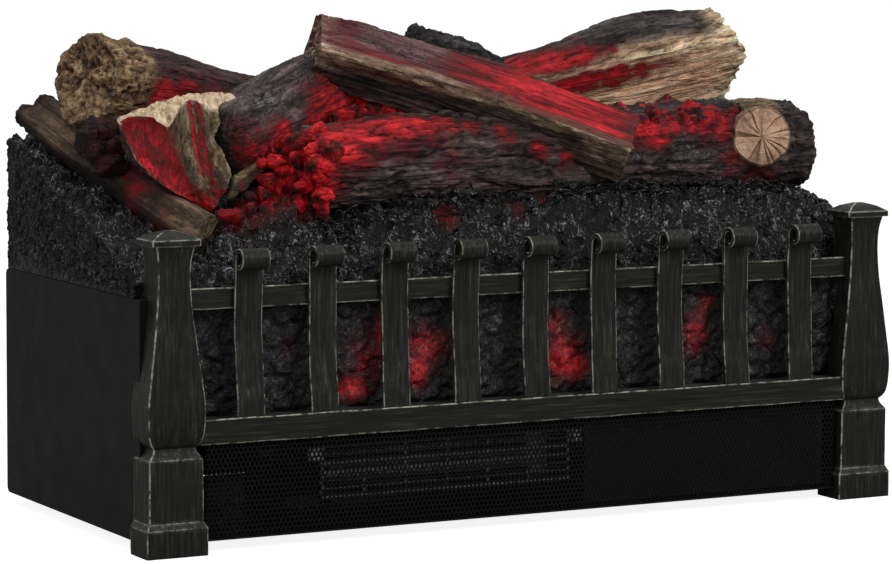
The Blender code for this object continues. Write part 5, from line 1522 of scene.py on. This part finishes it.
def dress_nodes():
    """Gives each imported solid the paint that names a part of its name, and the first paint if none does."""
    paints = {name: plain(name, *settings) for name, (*settings, _) in PAINTS.items()}
    for name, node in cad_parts.items():
        chosen = [paint for paint, (*_, words) in PAINTS.items()
                  if any(word in name for word in words.split())]
        for slot in node.material_slots:
            slot.material = paints[(chosen + ["charcoal_powder"])[0]]


# Floor, light and camera

FLOOR_REACH = 24
FLOOR_GREY = (0.34, 0.34, 0.34, 1)
FLOOR_SHINE = 0.88
WORLD_LIGHT = 0.42
LIGHTS = {
    "key": ((0.9, -2.1, 1.7), (0, 0, 0.12), 1.1, 46),
    "fill": ((-2.0, -1.4, 1.1), (0, 0, 0.15), 1.6, 16),
    "top": ((-0.2, 0.4, 2.2), (0, 0, 0.2), 1.4, 22),
}


def link(name, data):
    made = bpy.data.objects.new(name, data)
    bpy.context.scene.collection.objects.link(made)
    return made


def add_stage():
    """A pale floor that the camera sees as white."""
    mesh = bpy.data.meshes.new("floor")
    corners = [(x * FLOOR_REACH, y * FLOOR_REACH, 0) for x, y in ((-1, -1), (1, -1), (1, 1), (-1, 1))]
    mesh.from_pydata(corners, [], [[0, 1, 2, 3]])
    link("floor", mesh)
    m = Nodes(bpy.data.materials.new("pale_floor"))
    shine = m.make("Emission", 0, {"Strength": m.make("LightPath", "Is Camera Ray") * FLOOR_SHINE})
    both = m.make("AddShader", 0, {0: m.make("BsdfDiffuse", 0, {"Color": FLOOR_GREY}), 1: shine})
    m.put(m.tree.nodes["Material Output"].inputs["Surface"], both)
    mesh.materials.append(m.data)


def add_lights():
    """Three soft lamps, and a world that is white where it is seen and dimmer where it lights."""
    world = bpy.data.worlds.new("studio")
    bpy.context.scene.world = world
    m = Nodes(world)
    rays = ("Camera", "Transmission", "Glossy")
    camera, through, glossy = (m.make("LightPath", f"Is {kind} Ray") for kind in rays)
    seen = m.math("MAXIMUM", m.math("MAXIMUM", camera, through), glossy)
    background = m.tree.nodes["Background"].inputs
    strength = m.make("MapRange", "Result", {"Value": seen, "To Min": WORLD_LIGHT, "To Max": 1.0})
    m.put(background["Strength"], strength)
    m.put(background["Color"], (1, 1, 1, 1))
    for name, (place, target, size, power) in LIGHTS.items():
        data = bpy.data.lights.new(name, "AREA")
        data.size = size
        data.energy = power
        lamp = link(name, data)
        lamp.location = place
        lamp.rotation_euler = (Vector(target) - Vector(place)).to_track_quat("-Z", "Y").to_euler()


def add_camera():
    data = bpy.data.cameras.new("photo_camera")
    data.sensor_width = SENSOR
    data.lens = FOCAL_PIXELS * SENSOR / PHOTO_WIDTH
    data.clip_start = 0.05
    data.clip_end = 60
    camera = link("photo_camera", data)
    place = Matrix.Translation(Vector(EYE) + Vector(CORNER))
    around, up, roll = (Matrix.Rotation(math.radians(angle), 4, axis)
                        for angle, axis in ((AZIMUTH, "Z"), (90 - ELEVATION, "X"), (ROLL, "Z")))
    camera.matrix_world = place @ (around @ up) @ roll
    bpy.context.scene.camera = camera


add_camera()
add_lights()
add_stage()
dress_nodes()
add_basket()
add_grille()
add_bed()
add_shards()
add_ember_panel()
add_log_top()
add_log_front()
add_log_back_right()
add_log_back_left()
add_log_centre()
add_log_fork()
add_log_branch()
add_log_chip()
add_coals()
bpy.context.scene.view_settings.view_transform = "Standard"
